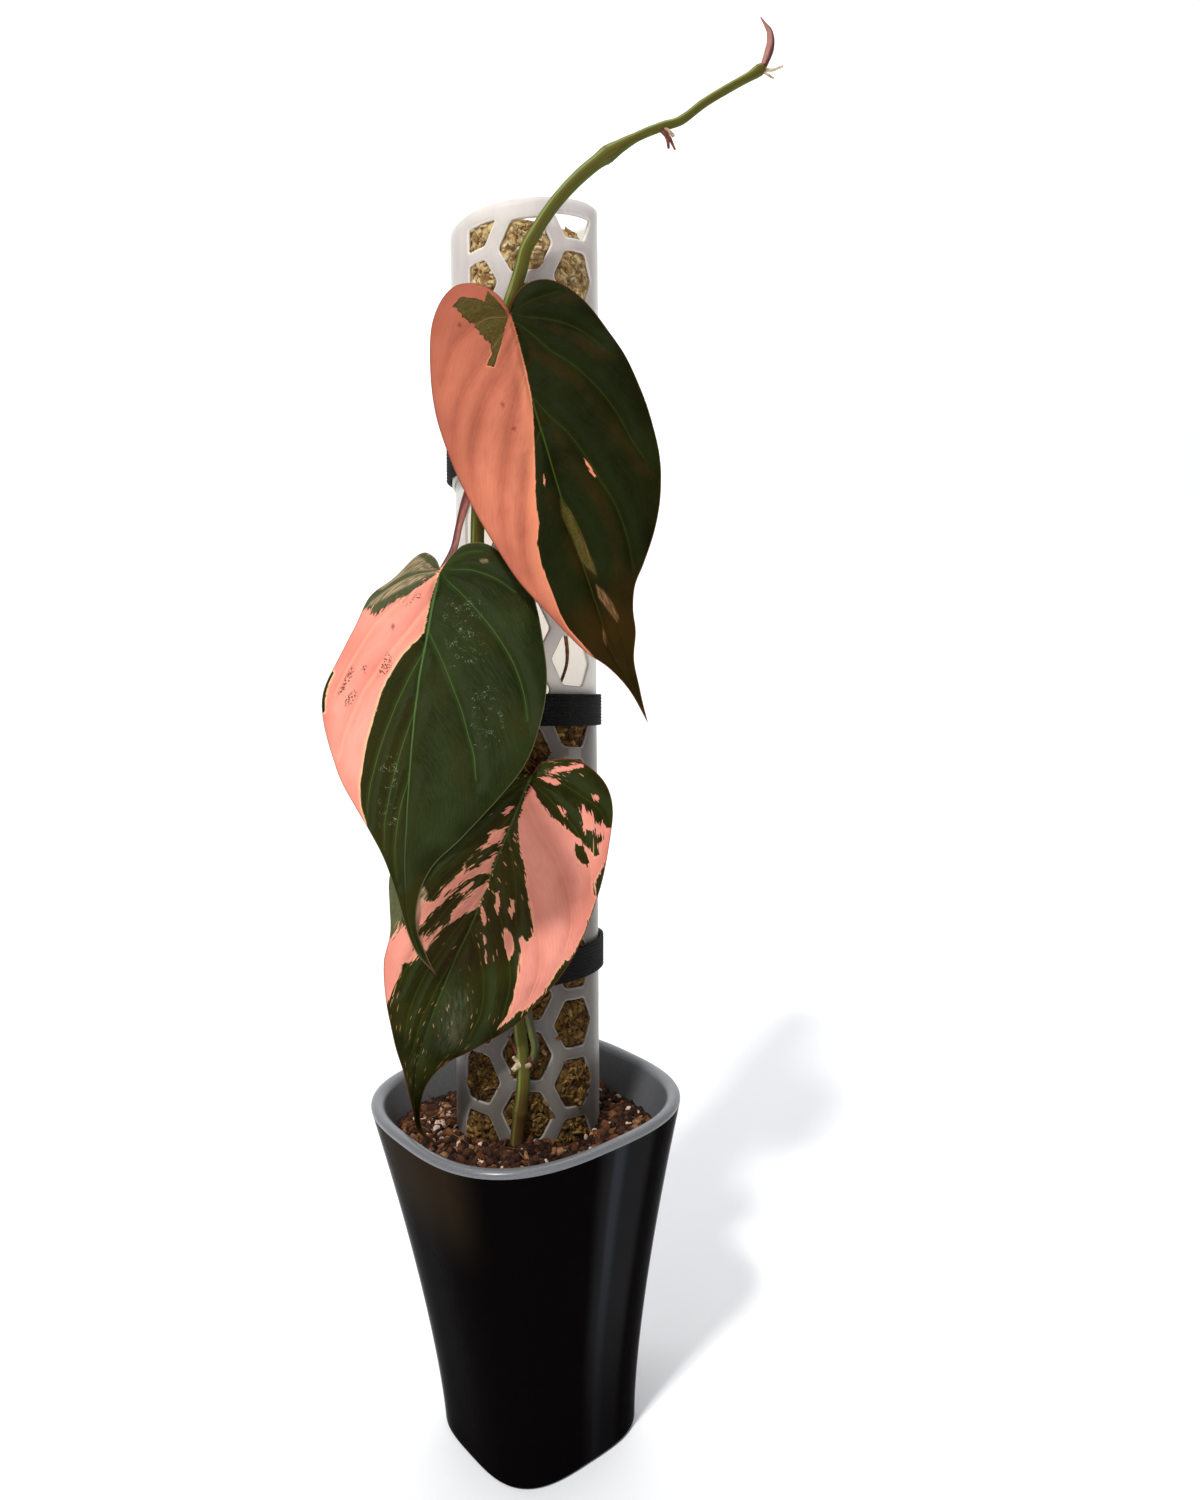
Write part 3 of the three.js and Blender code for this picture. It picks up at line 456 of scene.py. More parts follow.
class ScatterTree(Graph):
    """A geometry tree that strews strands or crumbs over a mesh, where its cover attribute allows."""

    strand_bend: Points = ((0, 0, 0), (0.5, 0.16, 0.1), (1, -0.05, 0.02))
    strand_tip: float = 0.25
    full_turn: float = 3.1416
    lean_seed: int = 7
    size_seed: int = 3
    shade_seed: int = 11

    def __init__(self, name: str, kind: Scatter) -> None:
        """Builds the tree.

        Args:
            name: The tree's name.
            kind: What it strews.
        """
        super().__init__(bpy.data.node_groups.new(name, "GeometryNodeTree"))
        inputs = {"Surface": "Geometry", **dict.fromkeys(
            ("Density", "Length", "Width", "Variety", "Lean", "Wobble", "Wobble Scale"), "Float"),
            "Seed": "Int", "Finish": "Material"}
        self.keys = {label: self.tree.interface.new_socket(
            label, in_out="INPUT", socket_type=f"NodeSocket{sort}").identifier for label, sort in inputs.items()}
        self.tree.interface.new_socket("Result", in_out="OUTPUT", socket_type="NodeSocketGeometry")
        self.source = self.node("NodeGroupInput").outputs
        self.lay(kind)

    def chance(self, low: Feed, high: Feed, seed: Feed, vector: bool = False) -> Socket:
        """Draws a random number for each point, or three as a vector."""
        first = 0 if vector else 2
        return self.wire("FunctionNodeRandomValue", {first: low, first + 1: high, 8: seed}, 0 if vector else 1,
                         data_type="FLOAT_VECTOR" if vector else "FLOAT")

    def strand(self) -> Socket:
        """Lays the nodes of one bent strand that tapers."""
        start, middle, end = self.strand_bend
        bend = self.wire("GeometryNodeCurveQuadraticBezier", {
            "Resolution": 4, "Start": start, "Middle": middle, "End": end})
        share = self.wire("GeometryNodeSplineParameter", output="Factor")
        slim = self.wire("ShaderNodeMapRange", {0: share, 1: 0.0, 2: 1.0, 3: 1.0, 4: self.strand_tip})
        taper = self.wire("GeometryNodeSetCurveRadius", {"Curve": bend, "Radius": slim})
        section = self.wire("GeometryNodeCurvePrimitiveCircle", {"Resolution": 3, "Radius": 1.0})
        ratio = self.math("DIVIDE", self.source["Width"], self.source["Length"])
        slender = self.wire("GeometryNodeTransform", {"Geometry": section, "Scale": ratio})
        return self.wire("GeometryNodeCurveToMesh", {"Curve": taper, "Profile Curve": slender, "Fill Caps": True})

    def crumb(self) -> Socket:
        """Lays the node of one crumb before it is roughened."""
        return self.wire("GeometryNodeMeshUVSphere", {"Radius": 0.5, "Segments": 7, "Rings": 5})

    def lay(self, kind: Scatter) -> None:
        """Lays the whole tree.

        Args:
            kind: What it strews.
        """
        source, wire, strands = self.source, self.wire, kind is Scatter.STRAND
        cover = wire("GeometryNodeInputNamedAttribute", {"Name": "cover"}, data_type="FLOAT")
        points = self.node("GeometryNodeDistributePointsOnFaces", {
            "Mesh": source["Surface"], "Density": self.times(source["Density"], cover),
            "Seed": source["Seed"]}).outputs
        turn = points["Rotation"]
        spin = self.chance((0, 0, -self.full_turn), (0, 0, self.full_turn), source["Seed"], vector=True)
        tilt = wire("ShaderNodeCombineXYZ", {1: self.times(self.chance(-1.0, 1.0, self.lean_seed), source["Lean"])})
        for step in (spin, tilt):
            turn = wire("FunctionNodeRotateRotation", {0: turn, 1: step}, rotation_space="LOCAL")
        size = self.chance(self.math("SUBTRACT", 1.0, source["Variety"]), self.plus(1.0, source["Variety"]),
                           self.size_seed, vector=not strands)
        grown = wire("ShaderNodeVectorMath", {0: size, 3: source["Length"]}, operation="SCALE")
        strewn = wire("GeometryNodeInstanceOnPoints", {
            "Points": points["Points"], "Instance": self.strand() if strands else self.crumb(), "Rotation": turn,
            "Scale": grown})
        shaded = wire("GeometryNodeStoreNamedAttribute", {
            "Geometry": strewn, "Name": "shade", "Value": self.chance(0.0, 1.0, self.shade_seed)},
            data_type="FLOAT", domain="INSTANCE")
        real = wire("GeometryNodeRealizeInstances", {"Geometry": shaded})
        field = wire("ShaderNodeTexNoise", {
            "Vector": wire("GeometryNodeInputPosition"), "Scale": source["Wobble Scale"], "Detail": 2.0}, "Color")
        centred = wire("ShaderNodeVectorMath", {0: field, 1: (0.5, 0.5, 0.5)}, operation="SUBTRACT")
        push = wire("ShaderNodeVectorMath", {0: centred, 3: source["Wobble"]}, operation="SCALE")
        bent = wire("GeometryNodeSetPosition", {"Geometry": real, "Offset": push})
        dressed = wire("GeometryNodeSetMaterial", {"Geometry": bent, "Material": source["Finish"]})
        self.node("NodeGroupOutput", {0: wire("GeometryNodeSetShadeSmooth", {"Geometry": dressed})})

    def strew(self, surface: Piece, name: str, material: Material,
              **sizes: float) -> Piece:
        """Runs the tree on a surface and keeps the result as a plain mesh.

        Args:
            surface: The object that carries the points. It stays as it is.
            name: Name of the new piece.
            material: The new piece's finish.
            **sizes: The tree's inputs by name, with underscores for spaces, in metres.

        Returns:
            The new piece.
        """
        modifier = surface.modifiers.new("strew", "NODES")
        modifier.node_group = self.tree
        for key, value in {**sizes, "Finish": material}.items():
            modifier[self.keys[key.replace("_", " ")]] = value
        depsgraph = bpy.context.evaluated_depsgraph_get()
        mesh = bpy.data.meshes.new_from_object(surface.evaluated_get(depsgraph), preserve_all_data_layers=True,
                                               depsgraph=depsgraph)
        surface.modifiers.remove(modifier)
        mesh.name = name
        return add_object(name, mesh)


class PoleAxis:
    """The leaning axis that the pole's sections, moss, straps and roots stand on."""

    foot = np.array([0.2, 7.9, 108.0])
    axis = unit(np.array([0.036, 0.09, 1.0]))
    right = unit(np.array([1.0, 0.0, 0.0]) - axis * axis[0])
    back = np.cross(axis, right)

    @classmethod
    def place(cls, degrees: Array, height: Array, radius: Array) -> Array:
        """Finds places beside the pole.

        Args:
            degrees: Turn round the pole from its front, to the right.
            height: Height up the axis.
            radius: Distance from the axis.

        Returns:
            One row for each place.
        """
        turn = np.radians(np.asarray(degrees, float))[..., None]
        height, radius = (np.asarray(value, float)[..., None] for value in (height, radius))
        return (cls.foot + cls.axis * height + cls.right * radius * np.sin(turn)
                - cls.back * radius * np.cos(turn))


class Ground(Enum):
    """The two colours that a variegated blade is made of."""

    GREEN = 1
    PINK = -1


class Stain(Enum):
    """A second tone laid over a patch of the blade."""

    OLIVE = "olive"
    BEIGE = "beige"
    BRONZE = "bronze"
    SCAR = "scar"
    SCUFF = "scuff"
    # A painted sheen: pale grey speckle where the velvet catches the light
    BLOOM = "bloom"
    # A painted shadow, darkening where another leaf shades the blade
    FLUSH = "flush"
    DOT = "dot"


@dataclass(frozen=True)
class Patch:
    """One patch of colour on a blade, with its corners as pairs() reads them."""

    outline: Row
    ground: Ground | None = None
    ragged: float = 0.6
    stain: Stain | None = None


@dataclass(frozen=True)
class BladeColours:
    """The colours of one blade."""

    pink: Tone
    pink_deep: Tone
    # Tone of the painted highlight on the pink bulges
    pink_painted_highlight: Tone
    pink_glow: Tone
    vein_tint_and_crease_shade: Tone
    green: Tone
    green_deep: Tone
    sheen_and_mottle_green: Tone
    vein: Tone
    midrib: Tone
    olive: Tone
    beige: Tone
    bronze: Tone
    tip: Tone
    rim: Tone
    # Share of painted shade over the pink towards the stalk
    painted_shade_share: float = 0.2
    glow_width: float = 2.0
    crest_share: float = 0.6
    vein_tint_and_crease_shade_share: float = 0.4
    fleck_share: float = 0.0


@dataclass(frozen=True)
class BladeShape:
    """Outline, relief and markings of one blade, its lines as pairs() reads them: x across, y to the tip."""

    name: str
    stalk: Row
    along: Row
    facing: Row
    arch: float
    tip_rise: float
    valley: float
    droop: float
    lobe_droop: float
    midrib: Row
    left: Row
    right: Row
    veins: Points
    patches: Sequence[Patch]
    colours: BladeColours
    pillow: float = 0.9
    wave: float = 0.5
    seed: float = 1.0


@dataclass
class Blade:
    """A heart-shaped leaf blade with its relief, veins and patches of pink and green."""

    shape: BladeShape
    rows: int = 210
    columns: int = 78
    thickness: float = 0.5
    edge: float = 0.14
    half_width: float = 36.0
    valley_width: float = 7.0
    lobe_length: float = 20.0
    fan_share: float = 0.12
    fan_power: float = 1.25
    soft_stain: float = 5.0
    crisp_stain: float = 0.45
    far: float = 50.0

    def plane(self) -> tuple[Array, list[Face], Array]:
        """Lays the blade's grid flat.

        Returns:
            The welded places, the faces, and each place's share of the way down and out, with its side.
        """
        down, out = np.linspace(0, 1, self.rows), np.linspace(0, 1, self.columns)
        starts = SmoothCurve(pairs(self.shape.midrib)).at(
            np.clip((down - self.fan_share) / (1 - self.fan_share), 0, 1) ** self.fan_power)
        places, shares, faces = [], [], []
        for side, margin in ((-1.0, self.shape.left), (1.0, self.shape.right)):
            ends = SmoothCurve(pairs(margin)).at(down)
            quads = grid_faces(self.rows, self.columns, closed=False, start=sum(map(len, places)))
            faces += quads if side > 0 else [quad[::-1] for quad in quads]
            places.append((starts[:, None] + (ends - starts)[:, None] * out[None, :, None]).reshape(-1, 2))
            share = np.stack(np.broadcast_arrays(down[:, None], out[None], side), axis=-1)
            shares.append(share.reshape(-1, 3))
        flat, share = np.vstack(places), np.vstack(shares)
        _, first, index = np.unique(np.round(flat, 4), axis=0, return_index=True, return_inverse=True)
        corners = [tuple(dict.fromkeys(int(index.ravel()[corner]) for corner in face)) for face in faces]
        return flat[first], [face for face in corners if len(face) > 2], share[first]

    def markings(self, flat: Array) -> dict[str, Array]:
        """Lays the patches of colour over the blade.

        Args:
            flat: Places in the blade's plane.

        Returns:
            The attributes that the finish reads for them.
        """
        green, ragged = np.full(len(flat), -40.0), np.zeros(len(flat))
        stains = {stain: np.zeros(len(flat)) for stain in Stain}
        for patch in self.shape.patches:
            reach = outline_reach(flat, pairs(patch.outline))
            if patch.ground is not None:
                signed = reach * patch.ground.value
                wins = signed > green if patch.ground is Ground.GREEN else signed < green
                green, ragged = np.where(wins, signed, green), np.where(wins, patch.ragged, ragged)
            if patch.stain is not None:
                soft = self.soft_stain if patch.stain in (Stain.BRONZE, Stain.BLOOM, Stain.FLUSH) else self.crisp_stain
                stains[patch.stain] = np.maximum(stains[patch.stain], smooth_step(-soft, soft, reach))
        return {"green": green, "ragged": ragged, **{stain.value: value for stain, value in stains.items()}}

    def place(self, flat: Array, lift: Array) -> Array:
        """Bends places of the blade's plane into space.

        Args:
            flat: Places in the blade's plane.
            lift: Height over the blade's middle surface.

        Returns:
            The places in the frame.
        """
        shape = self.shape
        along, face = unit(np.asarray(shape.along, float)), np.asarray(shape.facing, float)
        face = unit(face - along * (face @ along))
        x, y = flat.T
        share = np.clip(y / pairs(shape.midrib)[-1, 1], 0, 1)
        rise = (shape.arch * np.sin(np.pi * share) + shape.tip_rise * share**3
                + shape.valley * (1 - np.exp(-np.abs(x) / self.valley_width))
                - shape.droop * (x / self.half_width) ** 2
                - shape.lobe_droop * (np.maximum(0, -y) / self.lobe_length) ** 2)
        return (np.asarray(shape.stalk, float) + np.cross(face, along) * x[:, None] + along * y[:, None]
                + face * (rise + lift)[:, None])

    def veins(self, flat: Array) -> tuple[Array, Array]:
        """Measures places against the side veins.

        Args:
            flat: Places in the blade's plane.

        Returns:
            The signed distance to the nearest vein, and the distance that grows as a vein thins out.
        """
        crest, vein = np.full((2, len(flat)), self.far)
        spine_x, spine_y = pairs(self.shape.midrib).T
        for line in map(pairs, self.shape.veins):
            x, y = line[0]
            level = max(0.0, y - 1.3 * abs(x - np.interp(y, spine_y, spine_x)))
            root = (float(np.interp(level, spine_y, spine_x)), level)
            away, share = line_distance(flat, SmoothCurve([root, *line], 8).samples)
            crest = np.where(np.abs(away) < np.abs(crest), away, crest)
            vein = np.minimum(vein, np.abs(away) * (1 + 0.8 * share**2))
        return crest, vein

    def build(self) -> Piece:
        """Builds the blade's mesh with its attributes."""
        shape = self.shape
        flat, faces, share = self.plane()
        down, out, side = share.T
        outline = np.vstack([SmoothCurve(pairs(shape.left)).at(np.linspace(0, 1, 160)),
                             SmoothCurve(pairs(shape.right)).at(np.linspace(1, 0, 160))[1:-1]])
        margin = np.maximum(outline_reach(flat, outline), 0)
        spine = -line_distance(flat, SmoothCurve(pairs(shape.midrib), 8).samples)[0]
        crest, vein = self.veins(flat)
        near_edge = smooth_step(0, 7, margin)
        pillow = (1 - np.exp(-(np.minimum(vein, np.abs(spine) * 1.1) / 3.0) ** 1.5)) * near_edge
        lumps = roughness_field(flat, 9.0, shape.seed)
        ripple = np.sin(down * 34 + side * 1.3 + shape.seed) + 0.6 * np.sin(down * 61 + 2.1 * shape.seed)
        relief = (shape.pillow * pillow + 0.45 * lumps * near_edge
                  + shape.wave * ripple * (1 - smooth_step(0, 14, margin))
                  - 0.55 * bell(spine, 0.9) * smooth_step(1, 4, margin))
        half = self.edge / 2 + (self.thickness - self.edge) / 2 * smooth_step(0, 1.2, margin)
        ridge = 1.1 * bell(spine, 1.1) * (1 - 0.75 * down) * smooth_step(0.5, 4, margin)
        ridge += 0.35 * bell(vein, 0.7) * near_edge
        count = len(flat)
        phase = down - 0.25 * np.clip(down / 0.3, 0, 1) * out**1.4
        values = {
            "vein": vein, "crest": crest, "spine": spine, "margin": margin, "pillow": pillow, "down": down,
            "rib": np.abs(spine) / (0.14 + 0.42 * (1 - down) ** 1.3),
            "streak": np.column_stack([phase * 150, out * 35 * side, np.full(count, shape.seed)]),
            "flat": np.pad(flat, ((0, 0), (0, 1))), **self.markings(flat),
        }
        values = {key: np.concatenate([value, value]) for key, value in values.items()}
        values["underside"] = np.repeat([0.0, 1.0], count)
        vertices = np.vstack([self.place(flat, relief + half), self.place(flat, relief - half - ridge)])
        return make_piece(f"{shape.name}_blade", vertices, shell_faces(faces, count), values)

    def dress(self) -> None:
        """Builds the blade and gives it its finish."""
        name = self.shape.name
        settle(self.build(), BladeFinish(self.shape.colours).material(f"{name}_skin"), "leaf", name)


@dataclass(frozen=True)
class BladeFinish(Finish):
    """Velvety leaf skin with pink and green patches, fine veins and a papillose grain, and painted sheen, highlights,
    shade and shadow.
    """

    colours: BladeColours
    # Tone of the painted sheen speckle
    bloom: Tone = (116, 120, 100)
    fleck: Tone = (190, 146, 100)
    scar: Tone = (100, 54, 38)
    dot: Tone = (112, 30, 28)
    # Tone of the painted shadow that another leaf casts on the blade
    flush: Tone = (36, 18, 8)
    scuff: Tone = (146, 154, 128)
    underside: Tone = (140, 62, 58)

    def lay(self, sheet: NodeSheet) -> Feeds:
        """Lays the skin's nodes: the pink, the green, and what lies over both."""
        spread, times, tones = sheet.spread, sheet.times, self.colours
        flat, grown = sheet.read("flat", "Vector"), sheet.stretch(sheet.read("streak", "Vector"), (1.0, 0.3, 1.0))
        edge, down, margin, vein = self.edge(sheet, grown), *map(sheet.read, ("down", "margin", "vein"))
        drift, grain, fine = (sheet.noise(*field) for field in ((flat, 0.045, 3), (grown, 1.1, 4), (grown, 3.4, 3)))
        is_green, crest = spread(edge, -0.14, 0.14), sheet.read("crest")
        crest = times(spread(sheet.math("ABSOLUTE", crest), 0.03, 0.26, tones.crest_share, 0),
                      spread(vein, 0.7, 1.1, 1, 0))
        skin = sheet.paint(self.pink(sheet, edge, drift, grain),
                           (is_green, self.green(sheet, grown, drift, grain, fine, crest)))
        # Here the second green tone only mottles the olive patches
        dull = sheet.paint(tones.olive, (spread(fine, 0.35, 0.65, 0, 0.5), tones.sheen_and_mottle_green))
        olive = times(sheet.read("olive"), is_green)
        rib = times(spread(sheet.read("rib"), 0.4, 1.25, 0.8, 0), spread(down, 0.5, 0.95, 1, 0.25),
                    spread(edge, -0.3, 0.6))
        spot = times(spread(sheet.noise(flat, 0.8), 0.3, 0.46), spread(sheet.cells(flat, 1.5), 0.3, 0.6, 1, 0))
        worm = spread(sheet.math("ABSOLUTE", sheet.off_middle(flat, 0.75, 2, 0.6)), 0.004, 0.012, 1, 0)
        skin = sheet.paint(
            skin,
            (times(olive, spread(grain, 0.2, 0.6, 0.95, 0.75)), dull),
            (times(sheet.read("beige"), spread(grain, 0.35, 0.62, 0.95, 0.2)), tones.beige),
            (times(olive, crest), tones.beige),
            (spread(margin, 0.04, 0.4, 0.75, 0), tones.rim),
            (rib, tones.midrib),
            (spread(down, 0.955, 1.0, 0, 0.85), tones.tip),
            (times(sheet.read("scar"), spot), self.scar),
            (times(sheet.read("dot"), 0.8), self.dot),
            # Painted shadow where another leaf shades the blade
            (times(sheet.read("flush"), 0.48), self.flush),
            (times(sheet.read("scuff"), worm, spread(sheet.noise(flat, 0.35, 2), 0.5, 0.62), 0.9), self.scuff))
        skin = sheet.paint(skin, (sheet.read("underside"), sheet.paint(skin, (0.6, self.underside))))
        velvet = sheet.cells(flat, 4.2)
        height = sheet.bump(grain, 0.0003, 0.4, sheet.bump(velvet, 0.0001, 0.4))
        return dict(Base_Color=skin, Roughness=spread(velvet, 0, 0.8, 0.46, 0.6), Specular_IOR_Level=0.025,
                    Normal=sheet.bump(spread(vein, 0, 0.8), 0.0003, 0.5, height))

    def pink(self, sheet: NodeSheet, edge: Socket, drift: Socket, grain: Socket) -> Socket:
        """Lays the pink ground, brighter beside the green.

        Args:
            sheet: The material's nodes.
            edge: Distance inside the green, in millimetres.
            drift: Slow noise.
            grain: Noise that follows the veins.

        Returns:
            The colour.
        """
        spread, times, tones = sheet.spread, sheet.times, self.colours
        down, spine = sheet.read("down"), sheet.math("ABSOLUTE", sheet.read("spine"))
        beside = times(spread(edge, -tones.glow_width, -0.2, 0, 0.75), spread(down, 0.22, 0.38),
                       spread(down, 0.5, 0.8, 1, 0.2))
        fringe = times(spread(edge, -0.6, -0.25), spread(sheet.read("ragged"), 0.2, 0.5, 0.75, 0.15),
                       spread(down, 0.2, 0.32))
        return sheet.paint(
            tones.pink_deep,
            (spread(drift, 0.3, 0.7), tones.pink),
            # Painted highlight on the bulges between the veins
            (times(sheet.read("pillow"), 0.6), tones.pink_painted_highlight),
            (spread(grain, 0.4, 0.75, 0, 0.3), tones.pink_deep),
            # Beside the veins: painted shade in the creases where this tone is darker than the pink, a pale vein tint
            # where it is lighter
            (spread(sheet.read("vein"), 0, 1.5, tones.vein_tint_and_crease_shade_share, 0), tones.vein_tint_and_crease_shade),
            (spread(spine, 0.3, tones.glow_width, 0.85, 0), tones.pink_glow),
            (beside, tones.pink_glow),
            (spread(sheet.read("margin"), 0.1, 1.1, 0.5, 0), tones.pink_deep),
            # Painted shade: the pink darkens towards the stalk
            (spread(down, 0.05, 0.55, tones.painted_shade_share, 0), tones.pink_deep),
            (fringe, tones.pink_glow))

    def green(self, sheet: NodeSheet, grown: Socket, drift: Socket, grain: Socket, fine: Socket,
              crest: Socket) -> Socket:
        """Lays the green ground, with a painted sheen on its bulges and beside the veins, and warm banks beside the
        veins.

        Args:
            sheet: The material's nodes.
            grown: Place along and across the veins.
            drift: Slow noise.
            grain: Noise that follows the veins.
            fine: Finer noise that follows the veins.
            crest: The veins' thin pale lines.

        Returns:
            The colour.
        """
        spread, times, tones = sheet.spread, sheet.times, self.colours
        vein, side = sheet.read("vein"), sheet.read("crest")
        warm = times(spread(side, 0.6, 2.4), spread(side, 4.5, 8.0, 0.5, 0), spread(drift, 0.35, 0.6))
        painted_sheen_specks = times(spread(sheet.cells(sheet.read("flat", "Vector"), 3.0), 0.1, 0.32, 1, 0), 0.4)
        layers = [
            (spread(drift, 0.35, 0.65), tones.green),
            # Painted sheen on the bulges and, two lines below, on one side of each vein
            (times(sheet.read("pillow"), spread(grain, 0.3, 0.7, 0.15, 0.6)), tones.sheen_and_mottle_green),
            (times(sheet.read("bronze"), spread(drift, 0.3, 0.6, 0.35, 0.9)), tones.bronze),
            (times(spread(side, -6.0, -3.2), spread(side, -2.0, -0.6, 0.55, 0)), tones.sheen_and_mottle_green),
            (warm, tones.bronze),
            (spread(fine, 0.62, 0.72, 0, 0.22), tones.vein),
            (times(crest, spread(sheet.read("margin"), 0.5, 9, 0.1, 1)), tones.vein),
            (spread(vein, 0.3, 2.0, 0.14, 0), tones.vein),
            # Painted sheen: pale grey speckle over the green
            (times(sheet.read("bloom"), sheet.plus(painted_sheen_specks, spread(grain, 0.3, 0.7, 0.05, 0.3))), self.bloom),
        ]
        if tones.fleck_share:
            rare = 1 - tones.fleck_share
            spots = spread(sheet.cells(grown, 1.1, "Color"), rare - 0.005, rare + 0.005)
            size = spread(sheet.cells(grown, 1.1), 0.2, 0.34, 1, 0)
            layers.append((times(spots, size, spread(drift, 0.42, 0.52)), self.fleck))
        return sheet.paint(tones.green_deep, *layers)

    def edge(self, sheet: NodeSheet, grown: Socket) -> Socket:
        """Frays the line between pink and green.

        Args:
            sheet: The material's nodes.
            grown: Place along and across the veins.

        Returns:
            The distance inside the green, in millimetres.
        """
        jag = sheet.off_middle(grown, 0.8, 4)
        for scale, share in ((0.5, 0.7), (1.4, 1.3), (3.0, 0.9)):
            step = sheet.math("SUBTRACT", sheet.cells(grown, scale, "Color"), 0.5)
            jag = sheet.plus(jag, sheet.times(step, share))
        for scale, reach in ((1.5, 1.3), (1.8, -1.4)):
            jag = sheet.plus(jag, sheet.spread(sheet.cells(grown, scale, "Color"), 0.81, 0.83, 0, reach))
        return sheet.plus(sheet.read("green"), sheet.times(sheet.read("ragged"), jag))


@dataclass(frozen=True)
class PlainFinish(Finish):
    """A finish of two tones that drift into each other, with a fine grain."""

    light: Tone
    dark: Tone
    roughness: float = 0.5
    grain: float = 400.0
    depth: float = 0.00015
    gloss: float = 0.2

    def lay(self, sheet: NodeSheet) -> Feeds:
        """Lays the finish's nodes."""
        grain = sheet.noise(sheet.place(), self.grain, 4)
        return dict(Base_Color=sheet.paint(self.dark, (sheet.spread(grain, 0.32, 0.68), self.light)),
                    Roughness=self.roughness, Specular_IOR_Level=self.gloss,
                    Normal=sheet.bump(grain, self.depth, 0.8))


@dataclass(frozen=True)
class StrewnFinish(Finish):
    """A finish for strewn bits, each with its own tone off a row of colours."""

    tones: Sequence[Tone]
    clump: float = 300.0
    hollow: Tone = (34, 20, 10)
    depth: float = 0.5

    def lay(self, sheet: NodeSheet) -> Feeds:
        """Lays the finish's nodes."""
        ramp = sheet.node("ShaderNodeValToRGB", {"Fac": sheet.read("shade")})
        while len(ramp.color_ramp.elements) < len(self.tones):
            ramp.color_ramp.elements.new(0.5)
        for index, (element, tone) in enumerate(zip(ramp.color_ramp.elements, self.tones)):
            element.position, element.color = index / (len(self.tones) - 1), linear(tone)
        grain, lump = sheet.noise(sheet.place(), 900, 3), sheet.noise(sheet.place(), self.clump, 2)
        colour = sheet.paint(ramp.outputs["Color"], (sheet.spread(grain, 0.35, 0.65, 0.4, 0), self.hollow),
                             (sheet.spread(lump, 0.35, 0.6, self.depth, 0), self.hollow))
        return dict(Base_Color=colour, Roughness=0.85, Specular_IOR_Level=0.15,
                    Normal=sheet.bump(grain, 0.0002, 0.7))


@dataclass
class Pot:
    """The rounded-square pot, gloss black outside and satin grey at the rim and inside."""

    height: float = 127.0
    rim_half: float = 50.0
    base_half: float = 30.6
    wall: float = 4.5
    floor: float = 5.0
    flare: float = 1.436
    square_base: float = 3.3
    square_rim: float = 2.8
    turn: float = math.radians(36.6)
    foot_round: float = 1.6
    sides: int = 192
    collar: float = 124.8

    def ring(self, inset: float, z: float) -> Array:
        """Lays one ring of the wall.

        Args:
            inset: Distance in from the outside.
            z: Height of the ring.

        Returns:
            The ring's places.
        """
        share = min(max(z / self.height, 0), 1)
        half = self.base_half + (self.rim_half - self.base_half) * share**self.flare - inset
        power = self.square_base + (self.square_rim - self.square_base) * share
        angle = np.linspace(0, 2 * np.pi, self.sides, endpoint=False)
        reach = half * (np.abs(np.cos(angle)) ** power + np.abs(np.sin(angle)) ** power) ** (-1 / power)
        return np.column_stack([reach * np.cos(angle + self.turn), reach * np.sin(angle + self.turn),
                                np.full(self.sides, z)])

    def profile(self) -> list[tuple[float, float]]:
        """Lists the wall's rings from the foot over the rim to the floor, as inset and height."""
        lip, foot = self.wall / 2, self.foot_round
        rows = [(foot * (1 - math.sin(turn)), foot * (1 - math.cos(turn))) for turn in np.linspace(0, math.pi / 2, 6)]
        rows += [(0.0, z) for z in np.linspace(4, self.height - lip - 1.2, 46)]
        rows += [(lip * (1 - math.cos(turn)), self.height - lip + lip * math.sin(turn))
                 for turn in np.linspace(0, math.pi, 13)]
        rows += [(self.wall, z) for z in np.linspace(self.height - lip - 2, self.floor + 9, 30)]
        return rows + [(self.wall + 1, self.floor + 3), (self.wall + 3, self.floor)]

    def build(self) -> Piece:
        """Builds the pot's mesh."""
        rows, sides = self.profile(), self.sides
        vertices = np.vstack([*(self.ring(inset, z) for inset, z in rows), [[0, 0, 0]], [[0, 0, self.floor]]])
        outside = [self.collar - z if inset <= self.foot_round else -2.0 for inset, z in rows]
        values = {"outside": np.concatenate([np.repeat(outside, sides), [2.0, -2.0]]),
                  "turn": np.degrees(np.arctan2(vertices[:, 0], -vertices[:, 1])), "climb": vertices[:, 2]}
        return make_piece("pot_shell", vertices, tube_faces(len(rows), sides), values)

    def dress(self) -> None:
        """Builds the pot and gives it its finish."""
        shell = self.build()
        satin = PlainFinish((108, 109, 111), (98, 99, 102), 0.3, 1400, 0.00003, gloss=0.6)
        settle(shell, GlossFinish().material("pot_gloss"), "pot_glaze", "pot")
        shell.data.materials.append(satin.material("pot_satin"))
        outside = np.zeros(len(shell.data.vertices))
        shell.data.attributes["outside"].data.foreach_get("value", outside)
        for polygon in shell.data.polygons:
            polygon.material_index = int(min(outside[list(polygon.vertices)]) < 0)


